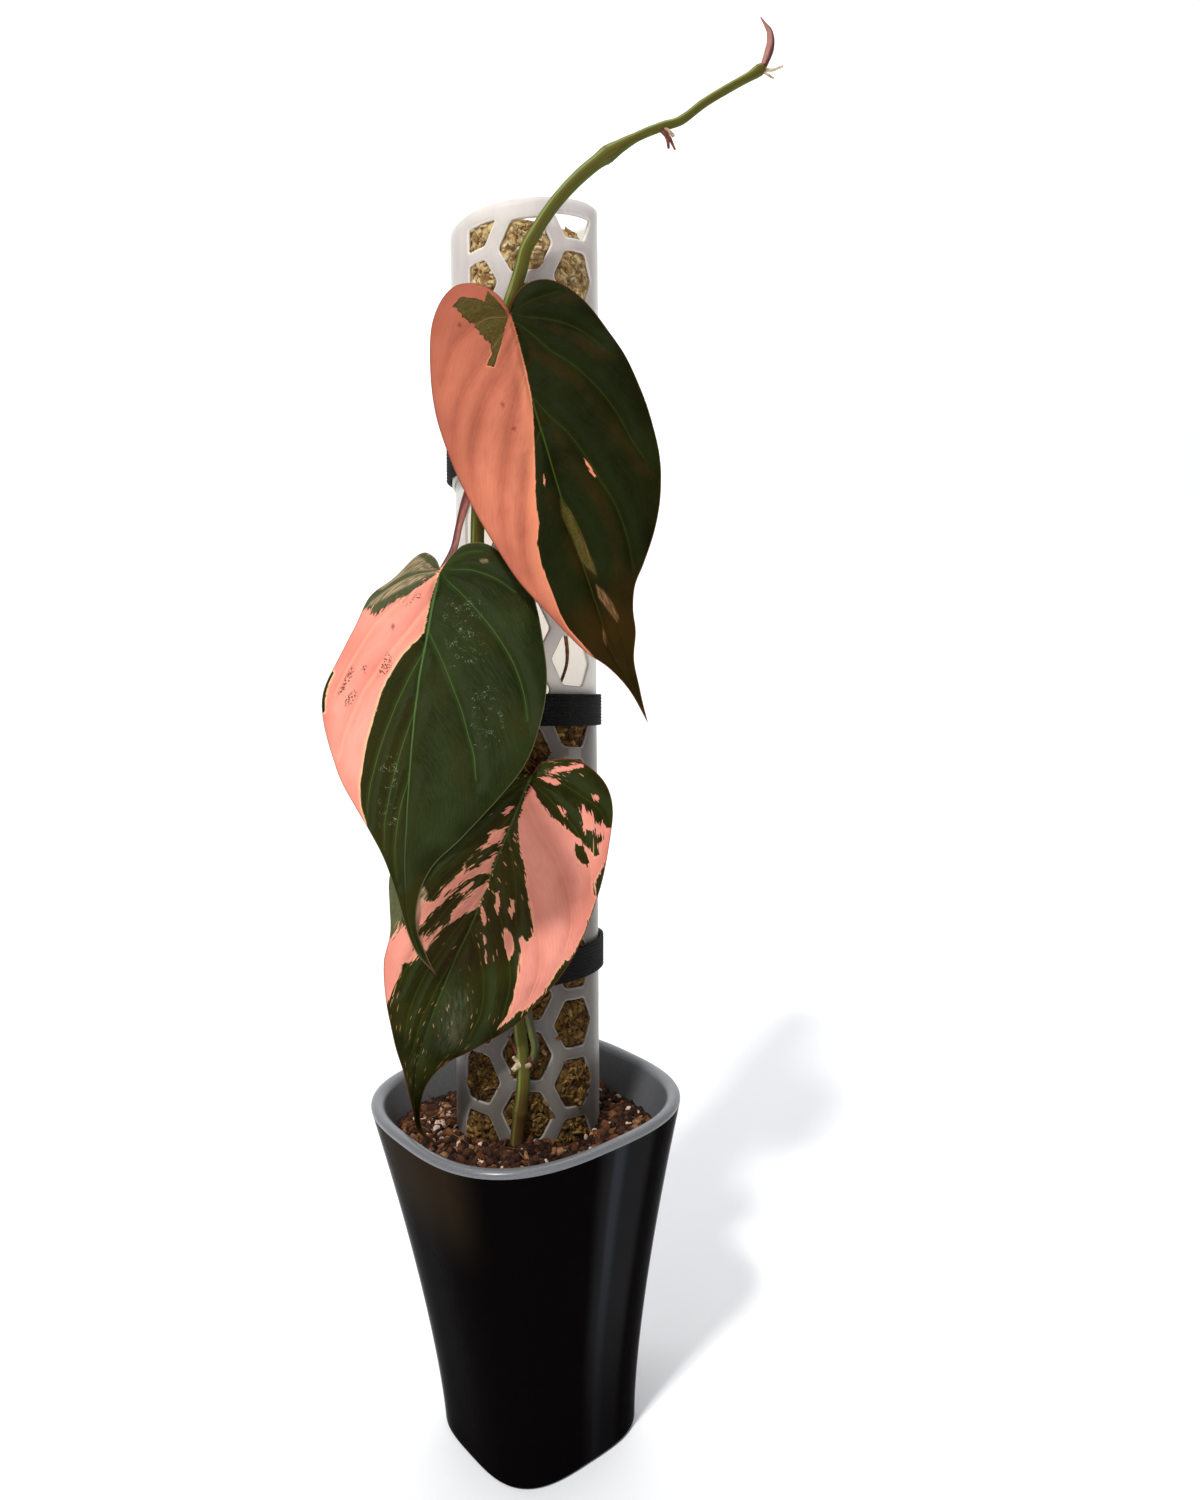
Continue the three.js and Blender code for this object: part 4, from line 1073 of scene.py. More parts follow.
@dataclass(frozen=True)
class GlossFinish(Finish):
    """Gloss black with painted brown and blue-grey reflections down its sides; its real reflection is kept very weak.
    """

    black: Tone = (8, 6, 7)
    # The brown, slate and streak tones are painted reflections laid into the base colour
    brown: Tone = (40, 32, 22)
    painted_slate_reflection: Tone = (33, 33, 34)
    streak: Tone = (50, 53, 58)

    def lay(self, sheet: NodeSheet) -> Feeds:
        """Lays the gloss's nodes."""
        spread, times, climb = sheet.spread, sheet.times, sheet.read("climb")
        turn = sheet.plus(sheet.read("turn"), times(sheet.off_middle(sheet.place((1, 1, 0.3)), 14, 2), 10))
        # Painted reflections: a brown one high on the left, a slate band and a thin blue-grey streak on the right
        left = times(spread(turn, -88, -64), spread(turn, -30, -12, 1, 0), spread(climb, 80, 116))
        right = times(spread(turn, 29, 38), spread(turn, 55, 61, 1, 0), spread(climb, 8, 70, 0.25, 1))
        thin = times(spread(turn, 37, 40), spread(turn, 42, 46, 1, 0), spread(climb, 20, 110, 0.1, 0.8))
        colour = sheet.paint(self.black, (left, self.brown), (right, self.painted_slate_reflection), (thin, self.streak))
        return dict(Base_Color=colour, Roughness=0.12, Specular_IOR_Level=0.0012,
                    Normal=sheet.bump(sheet.noise(sheet.place(), 30, 2), 0.0005, 0.2))


@dataclass
class Soil:
    """Potting mix: a rough surface with bark chips, pale grains and fibres strewn over it."""

    pot: Pot
    level: float = 113.2
    slope: float = -0.03
    mound: tuple[float, float, float, float] = (-2.0, -22.0, 4.0, 15.0)
    pale_heap: tuple[float, float, float] = (-29.0, 4.0, 9.0)
    pole_foot: tuple[float, float] = (0.5, 8.5)
    pole_edge: tuple[float, float] = (24, 27)
    clearance: float = 0.35
    rings: int = 64
    floor: float = 8.0

    def surface(self, x: Array, y: Array) -> Array:
        """Finds the height of the soil's surface at places across and in depth."""
        mound_x, mound_y, height, radius = self.mound
        heap = height * np.exp(-((x - mound_x) ** 2 + (y - mound_y) ** 2) / radius**2)
        waves = 0.6 * (np.sin(0.61 * x + 1.3) * np.cos(0.53 * y) + 0.6 * np.sin(0.9 * x - 0.8 * y))
        return self.level + self.slope * x + heap + waves

    def build(self) -> Piece:
        """Builds the body of soil."""
        wall, sides = self.pot.wall + self.clearance, self.pot.sides
        edge = self.pot.ring(wall, self.level)
        shares = np.linspace(1, 0.015, self.rings)
        top = np.vstack([*(edge * (share, share, 1) for share in shares), [[0, 0, 0]]])
        top[:, 2] = self.surface(top[:, 0], top[:, 1]) + 0.9 * roughness_field(top[:, :2], 3.2, 4.0, 4)
        vertices = np.vstack([top, self.pot.ring(wall + 3, self.floor), [[0, 0, self.floor]]])
        low = len(top)
        skirt = [(side, low + side, low + (side + 1) % sides, (side + 1) % sides) for side in range(sides)]
        faces = (grid_faces(self.rings, sides) + fan_faces((self.rings - 1) * sides, sides, low - 1) + skirt
                 + fan_faces(low, sides, len(vertices) - 1, turned=True))
        away = np.hypot(vertices[:, 0] - self.pole_foot[0], vertices[:, 1] - self.pole_foot[1])
        reach = np.concatenate([np.repeat(shares, sides), [0], np.ones(sides + 1)])
        cover = (np.arange(len(vertices)) < low) * smooth_step(*self.pole_edge, away)
        return make_piece("soil_bed", vertices, faces, {"cover": cover * (1 - smooth_step(0.9, 0.97, reach))})

    def gather(self, bed: Piece) -> None:
        """Thins the cover away from the heap of pale grains.

        Args:
            bed: The body of soil.
        """
        x, y, reach = self.pale_heap
        layer = bed.data.attributes["cover"].data
        cover = np.zeros(len(layer))
        layer.foreach_get("value", cover)
        away = np.array([math.hypot(vertex.co.x / MM - x, vertex.co.y / MM - y) for vertex in bed.data.vertices])
        layer.foreach_set("value", (cover * (0.3 + 4 * bell(away, reach))).astype(np.float32))

    def dress(self) -> None:
        """Builds the soil with what lies on it and gives each its finish."""
        bed = self.build()
        grains = ScatterTree("strew_crumbs", Scatter.CRUMB)
        strands = ScatterTree("strew_rootlets", Scatter.STRAND)
        kinds = (
            ("soil_crumbs", grains, StrewnFinish(
                ((40, 20, 11), (66, 38, 24), (26, 13, 8), (96, 62, 42), (50, 26, 14), (80, 46, 28)),
                hollow=(16, 8, 5), depth=0.7),
             dict(Density=560000.0, Length=0.0022, Variety=0.6, Wobble=0.0012, Wobble_Scale=700.0, Seed=3)),
            ("soil_bark", grains, StrewnFinish(
                ((70, 40, 24), (118, 74, 46), (172, 126, 88), (50, 26, 15), (92, 54, 32), (134, 82, 46),
                 (106, 62, 36))),
             dict(Density=76000.0, Length=0.0034, Variety=0.7, Wobble=0.0016, Wobble_Scale=420.0, Seed=9)),
            ("soil_grit", grains, StrewnFinish(((226, 198, 184), (204, 170, 152), (238, 220, 208)), depth=0.2),
             dict(Density=52000.0, Length=0.0023, Variety=0.55, Wobble=0.0012, Wobble_Scale=600.0, Seed=21)),
            ("soil_wisps", strands, StrewnFinish(((120, 80, 48), (170, 124, 80), (84, 50, 30))),
             dict(Density=30000.0, Length=0.008, Width=0.00016, Variety=0.5, Lean=0.35, Wobble=0.0022,
                  Wobble_Scale=260.0, Seed=5)),
        )
        for name, tree, finish, sizes in kinds:
            if name == "soil_grit":
                self.gather(bed)
            material = finish.material(f"{name}_tone")
            settle(tree.strew(bed, name, material, **sizes), material, "potting_mix", "soil")
        peat = PlainFinish((56, 32, 20), (24, 12, 8), 0.9, 700, 0.0006)
        settle(bed, peat.material("soil_peat"), "potting_mix", "soil")


@dataclass(frozen=True)
class Sleeve:
    """One rolled section of the pole: a thin sheet with hexagonal windows."""

    name: str
    foot: float
    head: float
    radius_foot: float
    radius_head: float
    skew: float
    turn: float
    first_window: float
    rows: int
    left_limit: float
    top: float
    lifts: tuple[float, float]
    overlap: float = 14.0
    ramp: tuple[float, float] = (142.0, 164.0)
    pitch: float = 20.7
    strut: float = 4.2
    width: float = 17.5
    column: float = 18.0
    window_floor: float = -6.0
    window_least: float = 3.0
    window_round: float = 1.1
    collar: float = 0.5
    solid_foot: float = 12.0
    thickness: float = 1.0
    taper_head: float = 251.0
    arc_steps: int = 88
    row_height: float = 2.1
    wobble: float = 0.22

    def radius(self, height: Array) -> Array:
        """Reads the sheet's radius at heights."""
        share = np.clip(np.asarray(height, float) / self.taper_head, 0, 1)
        return self.radius_foot + (self.radius_head - self.radius_foot) * share

    def sheet(self, arc: Array, height: Array, offset: Array) -> Array:
        """Rolls flat places of the sheet round the pole.

        Args:
            arc: Millimetres along the sheet from the pole's front.
            height: Height up the axis.
            offset: Distance out of the sheet's middle surface.

        Returns:
            The places in the frame.
        """
        degrees = np.degrees(arc / self.radius_foot)
        lift = np.where(degrees < 0, *self.lifts) * smooth_step(*self.ramp, np.abs(degrees))
        return PoleAxis.place(degrees, height + self.skew * arc, self.radius(height) + lift + offset)

    def windows(self) -> list[Array]:
        """Lists the windows' corners on the flat sheet, as arc and height."""
        half, wide = (self.pitch - self.strut) / 2, self.width / 2
        shift, left = (math.radians(turn) * self.radius_foot for turn in (self.turn, self.left_limit))
        low = max(self.foot + self.solid_foot, self.window_floor)
        outlines = []
        for column in (-1, 0, 1):
            for row in range(-1, self.rows):
                x = column * self.column + shift
                y = self.first_window + self.pitch * (row + (0.5 if column else 0))
                corners = [(x - wide, y), (x - wide / 2, y - half), (x + wide / 2, y - half), (x + wide, y),
                           (x + wide / 2, y + half), (x - wide / 2, y + half)]
                for axis, limit, side in ((0, left, 1), (1, self.top, -1), (1, low, 1)):
                    corners = self.clip(corners, axis, limit, side)
                if len(corners) > 2 and np.ptp([corner[1] for corner in corners]) > self.window_least:
                    outlines.append(np.array(corners))
        return outlines

    @staticmethod
    def clip(corners: list, axis: int, limit: float, side: int) -> list:
        """Keeps the part of an outline on one side of a limit.

        Args:
            corners: The outline's corners.
            axis: The axis that the limit is on.
            limit: The limit.
            side: 1 to keep what is above it, -1 to keep what is below.

        Returns:
            The corners of what is kept.
        """
        kept = []
        for here, there in zip(corners, corners[1:] + corners[:1]):
            a, b = side * (here[axis] - limit), side * (there[axis] - limit)
            if a >= 0:
                kept.append(here)
            if a * b < 0:
                t = a / (a - b)
                kept.append((here[0] + t * (there[0] - here[0]), here[1] + t * (there[1] - here[1])))
        return kept

    def rounded(self, corners: Array, steps: int = 4) -> Array:
        """Rounds an outline's corners and adds points along its sides.

        Args:
            corners: The outline's corners.
            steps: Points in a rounding.

        Returns:
            The rounded outline.
        """
        points = []
        for corner, last, following in zip(corners, np.roll(corners, 1, axis=0), np.roll(corners, -1, axis=0)):
            before, after = last - corner, following - corner
            size = min(self.window_round, 0.4 * np.linalg.norm(before), 0.4 * np.linalg.norm(after))
            start, end = corner + unit(before) * size, corner + unit(after) * size
            points += [(1 - t) ** 2 * start + 2 * t * (1 - t) * corner + t**2 * end for t in np.linspace(0, 1, steps)]
            reach = following - unit(after) * size
            points += [end + (reach - end) * t for t in np.linspace(0, 1, 6)[1:-1]]
        return np.array(points)

    def flat_mesh(self) -> tuple[Array, list[Face], Array]:
        """Meshes the flat sheet round its windows.

        Returns:
            The places as arc and height, the faces, and each place's distance from the nearest window.
        """
        reach = math.radians(180 + self.overlap) * self.radius_foot
        outlines = [self.rounded(window) for window in self.windows()]
        arcs = np.linspace(-reach, reach, self.arc_steps)
        heights = np.linspace(self.foot, self.head, int((self.head - self.foot) / self.row_height))
        points = ([(arc, self.foot) for arc in arcs] + [(reach, height) for height in heights[1:]]
                  + [(arc, self.head) for arc in arcs[-2::-1]] + [(-reach, height) for height in heights[-2:0:-1]])
        edges = [(index, (index + 1) % len(points)) for index in range(len(points))]
        for outline in outlines:
            start = len(points)
            points += list(map(tuple, outline))
            edges += [(start + index, start + (index + 1) % len(outline)) for index in range(len(outline))]
        for outline in outlines:
            points += list(map(tuple, outline + unit(outline - outline.mean(axis=0)) * self.collar))
        inner = np.array([(arc, height) for arc in arcs[1:-1] for height in heights[1:-1]])
        points += list(map(tuple, inner[deepest_reach(inner, outlines) < -self.window_round]))
        flat, _, triangles, *_ = delaunay_2d_cdt([Vector(point) for point in points], edges, [], 0, 1e-6)
        flat = np.array([tuple(point) for point in flat])
        middles = np.array([flat[list(triangle)].mean(axis=0) for triangle in triangles])
        dropped = deepest_reach(middles, outlines) > 0
        faces = [tuple(triangle) for triangle, drop in zip(triangles, dropped) if not drop]
        return flat, faces, -deepest_reach(flat, outlines)

    def build(self) -> Piece:
        """Builds the sheet's mesh with its windows cut out."""
        flat, faces, rim = self.flat_mesh()
        wobble, half = self.wobble * roughness_field(flat, 22, 3.3, 2), self.thickness / 2
        arc, height = flat.T
        outer = self.sheet(arc, height, half * (0.6 + 0.4 * smooth_step(-0.01, 0.4, rim)) + wobble)
        inner = self.sheet(arc, height, wobble - half)
        values = {"rim": np.tile(rim, 2), "front": np.tile(np.cos(arc / self.radius_foot), 2),
                  "climb": np.tile(height, 2), "inner": np.repeat([0.0, 1.0], len(flat))}
        return make_piece(f"{self.name}_sheet", np.vstack([outer, inner]), shell_faces(faces, len(flat)), values)

    def dress(self, finish: Finish) -> None:
        """Builds the sheet and gives it that finish."""
        settle(self.build(), finish.material(f"{self.name}_plastic"), "sleeve_plastic", self.name)


@dataclass(frozen=True)
class SheetFinish(Finish):
    """Frosted plastic sheet, with a painted highlight along its window edges and, where it holds no moss, a painted
    glow on its inner face in place of light from behind.
    """

    body: Tone
    cloud: Tone
    side: Tone
    edge: Tone
    cover: float
    dry_from: float = 1000.0
    dry: Tone = (218, 214, 206)
    # Strength of the painted glow on the inner face where the sheet holds no moss
    dry_glow: float = 0.78

    def lay(self, sheet: NodeSheet) -> Feeds:
        """Lays the plastic's nodes."""
        spread, times = sheet.spread, sheet.times
        cloud = sheet.noise(sheet.place((1, 1, 0.3)), 90, 3)
        # edge masks a painted highlight along the window edges
        edge, side = spread(sheet.read("rim"), 0.25, 0.75, 0.55, 0), spread(sheet.read("front"), 0.05, 0.5, 1, 0)
        dry = spread(sheet.read("climb"), self.dry_from, self.dry_from + 8, 0, 0.92)
        body = sheet.paint(self.body, (spread(cloud, 0.3, 0.7), self.cloud), (side, self.side), (dry, self.dry))
        denser = sheet.math("MAXIMUM", times(edge, 0.4), times(side, 0.35))
        cover = sheet.wire("ShaderNodeMath", {0: spread(cloud, 0.3, 0.7, self.cover, self.cover + 0.1), 1: denser},
                           operation="ADD", use_clamp=True)
        scratch = sheet.noise(sheet.place((1, 1, 0.08)), 900, 3)
        # Painted highlight at the window edges; the emission is a painted glow standing in for light from behind
        return dict(Base_Color=sheet.paint(body, (edge, self.edge)), Alpha=cover, Emission_Color=body,
                    Emission_Strength=times(dry, sheet.read("inner"), self.dry_glow),
                    Roughness=spread(cloud, 0.3, 0.7, 0.3, 0.42), Specular_IOR_Level=0.25,
                    Normal=sheet.bump(scratch, 0.00001, 0.4))


@dataclass
class Moss:
    """A column of long-fibred moss that fills a section of the pole and swells in its windows."""

    name: str
    sleeve: Sleeve
    foot: float
    head: float
    seed: int
    strands: StrewnFinish
    core: PlainFinish
    slot: str
    sides: int = 150
    step: float = 1.5
    inset: float = 0.35
    swell: float = 1.3
    rise: float = 0.0

    def build(self) -> Piece:
        """Builds the column."""
        length, sides = self.head - self.foot, self.sides
        rows = int(length / self.step)
        turn, height = (grid.ravel() for grid in np.meshgrid(
            np.linspace(-180, 180, sides, endpoint=False), np.linspace(self.foot, self.head, rows)))
        share = (height - self.foot) / length
        height = height + self.rise * smooth_step(0.7, 1, share) * (0.9 - 0.8 * np.sin(np.radians(turn)))
        arc = np.radians(turn) * self.sleeve.radius_foot
        level = height - self.sleeve.skew * arc
        inside = deepest_reach(np.column_stack([arc, level]), self.sleeve.windows())
        ends = smooth_step(0, 2.5, length * np.minimum(share, 1 - share))
        radius = self.sleeve.radius(level) - self.sleeve.thickness / 2 - self.inset
        lumps = roughness_field(PoleAxis.place(turn, height, radius), 7, self.seed, 4)
        radius += smooth_step(-0.6, 1.8, inside) * (self.swell + 0.9 * lumps) + 0.4 * lumps - 3 * (1 - ends)
        vertices = np.vstack([PoleAxis.place(turn, height, radius),
                              PoleAxis.place(np.zeros(2), np.array([self.foot, self.head]), np.zeros(2))])
        cover = np.concatenate([smooth_step(0.0, 1.4, inside) * ends, [0, 0]])
        return make_piece(f"{self.name}_core", vertices, tube_faces(rows, sides), {"cover": cover})

    def dress(self, tree: ScatterTree) -> None:
        """Builds the column with its strands and gives each its finish.

        Args:
            tree: The tree that strews the strands.
        """
        core = self.build()
        material = self.strands.material(f"{self.name}_strand_tone")
        strands = tree.strew(core, f"{self.name}_strands", material, Density=640000.0, Length=0.0015,
                             Width=0.0006, Variety=0.6, Lean=0.3, Wobble=0.001, Wobble_Scale=480.0,
                             Seed=self.seed)
        settle(strands, material, self.slot, self.name)
        settle(core, self.core.material(f"{self.name}_core_tone"), self.slot, self.name)


@dataclass
class Strap:
    """A woven strap round the pole and the stem."""

    name: str
    sleeve: Sleeve
    height: float
    width: float
    tilt: float
    vine_turn: float
    thickness: float = 1.6
    gap: float = 0.3
    vine_radius: float = 2.5
    vine_clearance: float = 0.35
    seam_clearance: float = 0.1
    rib_depth: float = 0.12
    stations: int = 260
    ribs: int = 9

    def path(self, offset: float) -> Array:
        """Lays the strap's closed path.

        Args:
            offset: Distance out from what the strap goes round.

        Returns:
            Places about the pole's axis, across and in depth.
        """
        radius = float(self.sleeve.radius(self.height)) + self.sleeve.thickness / 2
        pole, turn = radius + self.gap, math.radians(self.vine_turn)
        reach = radius + self.vine_clearance + self.vine_radius
        circles = np.array([(0, 0, pole), (0, self.sleeve.lifts[1] + self.seam_clearance, pole),
                            (reach * math.sin(turn), -reach * math.cos(turn), self.vine_radius + self.gap)])
        turns = np.linspace(0, 2 * np.pi, 720, endpoint=False)
        normals = np.column_stack([np.cos(turns), np.sin(turns)])
        best = np.argmax(normals @ circles[:, :2].T + circles[:, 2], axis=1)
        points = circles[best, :2] + (circles[best, 2] + offset)[:, None] * normals
        closed = np.vstack([points, points[:1]])
        along = path_reach(closed)
        shares = np.linspace(0, along[-1], self.stations, endpoint=False)
        return np.column_stack([np.interp(shares, along, closed[:, axis]) for axis in (0, 1)])

    def section(self) -> list[tuple[float, float]]:
        """Lists the strap's section, as offset out and level."""
        half, thick, count = self.width / 2, self.thickness, self.ribs * 4
        crown = [(thick - 0.14 + self.rib_depth * math.cos(math.pi * step / 2), (half - 0.25) * (1 - 2 * step / count))
                 for step in range(count + 1)]
        return [(thick * 0.25, -half), (0.05, -half + 0.3), (0.05, half - 0.3), (thick * 0.25, half),
                (thick * 0.75, half), *crown, (thick * 0.75, -half)]

    def build(self) -> Piece:
        """Builds the strap's mesh."""
        rise, section = math.tan(math.radians(self.tilt)), self.section()
        inner, outer = self.path(0), self.path(self.thickness)
        rings = []
        for offset, level in section:
            x, y = (inner + (outer - inner) * offset / self.thickness).T
            rings.append(PoleAxis.place(np.degrees(np.arctan2(x, -y)), self.height + level + rise * x,
                                        np.hypot(x, y)))
        total = len(section) * self.stations
        faces = [tuple(corner % total for corner in face) for face in grid_faces(len(section) + 1, self.stations)]
        values = {"across": np.repeat([level for _, level in section], self.stations),
                  "reach": np.tile(path_reach(outer), len(section))}
        return make_piece(f"{self.name}_band", np.vstack(rings), faces, values)

    def dress(self, material: Material) -> None:
        """Builds the strap and gives it the webbing's material."""
        settle(self.build(), material, "strap_webbing", self.name)


@dataclass(frozen=True)
class WebbingFinish(Finish):
    """Black woven webbing with fine rows of weave and painted glints on the weave's peaks."""

    thread: Tone = (24, 23, 22)
    gap: Tone = (5, 5, 5)
    glint: Tone = (110, 106, 98)
    warp: float = 6.5
    weft: float = 5.3

    def lay(self, sheet: NodeSheet) -> Feeds:
        """Lays the webbing's nodes."""
        weave = sheet.times(*(sheet.math("SINE", sheet.times(sheet.read(name), rate))
                              for name, rate in (("reach", self.warp), ("across", self.weft))))
        fuzz, thread = sheet.noise(sheet.place(), 1500, 3), sheet.spread(weave, -0.6, 0.9)
        # Painted highlight: glints on the peaks of the weave
        glint = sheet.times(sheet.spread(weave, 0.8, 0.97), sheet.spread(fuzz, 0.45, 0.6, 0, 0.7))
        return dict(Base_Color=sheet.paint(self.gap, (thread, self.thread), (glint, self.glint)),
                    Roughness=0.72, Specular_IOR_Level=0.12,
                    Normal=sheet.bump(fuzz, 0.0001, 0.5, sheet.bump(thread, 0.0002, 0.8)))


@dataclass
class Vine:
    """The climbing stem: up the front of the pole, then over to the right in an arch."""

    sleeves: tuple[Sleeve, Sleeve]
    clearance: float = 0.35
    thickest: float = 2.5
    swell: float = 0.33
    node_length: float = 2.6
    sides: int = 20
    stations: int = 620
    on_pole: Points = (
        (-6.5, -14), (-6, 9), (-1.5, 30), (-3.6, 46), (-7.6, 66), (-11.5, 90), (-17, 107), (-21, 127),
        (-26, 157), (-31, 183), (-34, 208), (-29.5, 229), (-25.5, 246), (-19, 261), (-12.5, 275),
    )
    free: Points = (
        (6.7, 2.8, 393.1), (8.4, 3.2, 397.7), (10.6, 3.3, 403.7), (12.5, 3.5, 409.8), (15, 3.6, 413.8),
        (18.4, 3.5, 418.6), (23.3, 3.1, 424.4), (30.6, 2.9, 431.2), (38.7, 2.7, 436.9), (48.3, 2.5, 442),
        (56.9, 2.7, 445.2), (62.7, 3, 446.9), (70.6, 4.3, 452.5), (78.5, 5.7, 457.2), (86.5, 7.2, 461.7),
        (90, 7.9, 464),
    )
    radii: Points = ((0, 2.2), (0.3, 2.35), (0.72, 2.3), (0.8, 2.05), (0.865, 2.3), (0.885, 1.45),
                     (0.95, 1.35), (1, 1.45))
    nodes: Row = (0.078, 0.3, 0.5, 0.574, 0.86, 0.995)

    def turn_at(self, height: float) -> float:
        """Reads how far round the pole the stem stands at a height."""
        degrees, heights = np.array(self.on_pole).T
        return float(np.interp(height, heights, degrees))

    def curve(self) -> SmoothCurve:
        """Lays the stem's middle line."""
        lower, upper = self.sleeves
        points = []
        for degrees, height in self.on_pole:
            sleeve = upper if height > upper.foot - 12 else lower
            reach = float(sleeve.radius(height)) + sleeve.thickness / 2 + self.clearance + self.thickest
            points.append(PoleAxis.place(degrees, height, reach))
        return SmoothCurve([*points, *np.array(self.free)])

    def build(self) -> Piece:
        """Builds the stem's mesh."""
        curve, share = self.curve(), np.linspace(0, 1, self.stations)
        places = curve.at(share)
        radii = np.interp(share, *np.array(self.radii).T)
        near = np.full(len(share), 99.0)
        for node in self.nodes:
            away = (share - node) * curve.length
            radii += (self.swell * bell(away, self.node_length) + 0.16 * bell(away - 0.6, 0.28)
                      + 0.1 * bell(away + 0.9, 0.3))
            near = np.minimum(near, np.abs(away - 0.2))
        radii += 0.06 * roughness_field(places, 5, 2.0)
        sweep = Sweep.along(places, radii, self.sides)
        sweep.attributes["node"] = np.concatenate([np.repeat(near, self.sides), near[:1], near[-1:]])
        return sweep.piece("vine_stem")

    def dress(self) -> None:
        """Builds the stem and gives it its finish."""
        settle(self.build(), StemFinish().material("vine_bark"), "stem", "vine")


@dataclass(frozen=True)
class StemFinish(Finish):
    """Green stem with a painted highlight stripe down its left side, darker rings at its nodes and a brown lower side.
    """

    green: Tone = (88, 92, 34)
    dark: Tone = (62, 68, 24)
    painted_highlight_cream: Tone = (140, 140, 76)
    brown: Tone = (90, 70, 30)
    earthy: Tone = (72, 55, 24)
    purple: Tone = (82, 46, 34)
    earthy_reach: tuple[float, float] = (33, 46)

    def lay(self, sheet: NodeSheet) -> Feeds:
        """Lays the stem's nodes."""
        spread, times, reach, left = sheet.spread, sheet.times, sheet.read("reach"), sheet.read("left")
        where = sheet.wire("ShaderNodeCombineXYZ", {0: times(reach, 0.05), 1: times(left, 2.6),
                                                    2: sheet.read("around")})
        streak = sheet.noise(where, 2.4, 3)
        band = sheet.plus(left, times(sheet.math("SUBTRACT", streak, 0.5), 0.35))
        low = spread(reach, *self.earthy_reach, 1, 0)
        # Painted highlight stripe down the stem's left side, fainter low down
        light = times(spread(band, 0.3, 0.5), spread(band, 0.62, 0.85, 0.7, 0),
                      sheet.math("SUBTRACT", 1, times(low, 0.55)))
        under = times(spread(band, -0.55, -0.38), spread(band, -0.2, 0.05, 0.8, 0))
        colour = sheet.paint(
            self.green, (spread(streak, 0.35, 0.65, 0, 0.6), self.dark), (times(low, 0.85), self.earthy),
            (light, self.painted_highlight_cream), (under, sheet.paint(self.brown, (low, self.purple))),
            (spread(sheet.read("node"), 0.3, 1.0, 0.5, 0), self.brown))
        fine = sheet.noise(sheet.place(), 1400, 3)
        return dict(Base_Color=colour, Roughness=0.42, Specular_IOR_Level=0.08,
                    Normal=sheet.bump(sheet.plus(fine, streak), 0.00012, 0.5))


@dataclass
class Scraps:
    """One group of dried root stubs, old sheath flaps or short rootlets at the stem's nodes."""

    name: str
    finish: PlainFinish
    strands: Sequence[tuple[tuple[float, float], Points]]

    def dress(self) -> None:
        """Builds the group and gives it its finish."""
        sweeps = []
        for (thick, thin), points in self.strands:
            places = SmoothCurve(points).at(np.linspace(0, 1, 28))
            radii = np.linspace(thick, thin, 28) * (1 + 0.12 * roughness_field(places, 1.2, 5.0))
            sweeps.append(Sweep.along(places, radii, 12, 0.75, 5, 0.1))
        settle(reduce(Sweep.join, sweeps).piece(self.name), self.finish.material(f"{self.name}_tone"), "stem", "vine")


@dataclass
class Petiole:
    """A leaf stalk from the stem to the back of its blade."""

    name: str
    points: Points
    radii: tuple[float, float]
    # light and dark are the painted lit and shaded sides of the stalk
    light: Tone
    dark: Tone

    def dress(self) -> None:
        """Builds the stalk and gives it its finish."""
        curve, share = SmoothCurve(self.points), np.linspace(0, 1, 120)
        thick, thin = self.radii
        radii = thick + (thin - thick) * np.minimum(1, share * 2.5) + 0.18 * bell(share * curve.length, 1.6)
        sweep = Sweep.along(curve.at(share), radii, 18, 0.94, 9, 0.02)
        material = StalkFinish(self.light, self.dark).material(f"{self.name}_skin")
        settle(sweep.piece(f"{self.name}_stalk"), material, "petiole", self.name)


@dataclass(frozen=True)
class StalkFinish(Finish):
    """Leaf stalk skin, paler on its left side as painted light and darker on its right as painted shade."""

    light: Tone
    dark: Tone

    def lay(self, sheet: NodeSheet) -> Feeds:
        """Lays the skin's nodes."""
        left = sheet.read("left")
        where = sheet.wire("ShaderNodeCombineXYZ", {0: sheet.times(sheet.read("reach"), 0.08), 1: left,
                                                    2: sheet.read("around")})
        streak = sheet.noise(where, 3.5, 4)
        side = sheet.plus(left, sheet.times(sheet.math("SUBTRACT", streak, 0.5), 1.6))
        # Painted light: the left side takes the light tone, the right side the dark
        return dict(Base_Color=sheet.paint(self.dark, (sheet.spread(side, -0.45, 0.55), self.light)),
                    Roughness=0.42, Specular_IOR_Level=0.25, Normal=sheet.bump(streak, 0.0002, 0.6))


@dataclass
class NewLeaf:
    """The reddish sheath round the new leaf at the growing tip."""

    points: Points = ((90.5, 8.2, 464.7), (92.4, 9.4, 469.3), (93.2, 10.3, 472.6), (93, 11.3, 476.3),
                      (92, 11.8, 478.2), (90.4, 12.5, 481))
    radii: Points = ((0, 1.1), (0.3, 1.45), (0.55, 1.2), (0.75, 0.8), (0.85, 0.5), (1, 0.2))
    skin: StalkFinish = StalkFinish((156, 98, 84), (86, 42, 38))

    def dress(self) -> None:
        """Builds the sheath and gives it its finish."""
        share = np.linspace(0, 1, 90)
        sweep = Sweep.along(SmoothCurve(self.points).at(share), np.interp(share, *np.array(self.radii).T), 24, 0.85,
                            3, 0.08)
        settle(sweep.piece("new_leaf_roll"), self.skin.material("sheath_skin"), "sheath", "new_leaf_sheath")


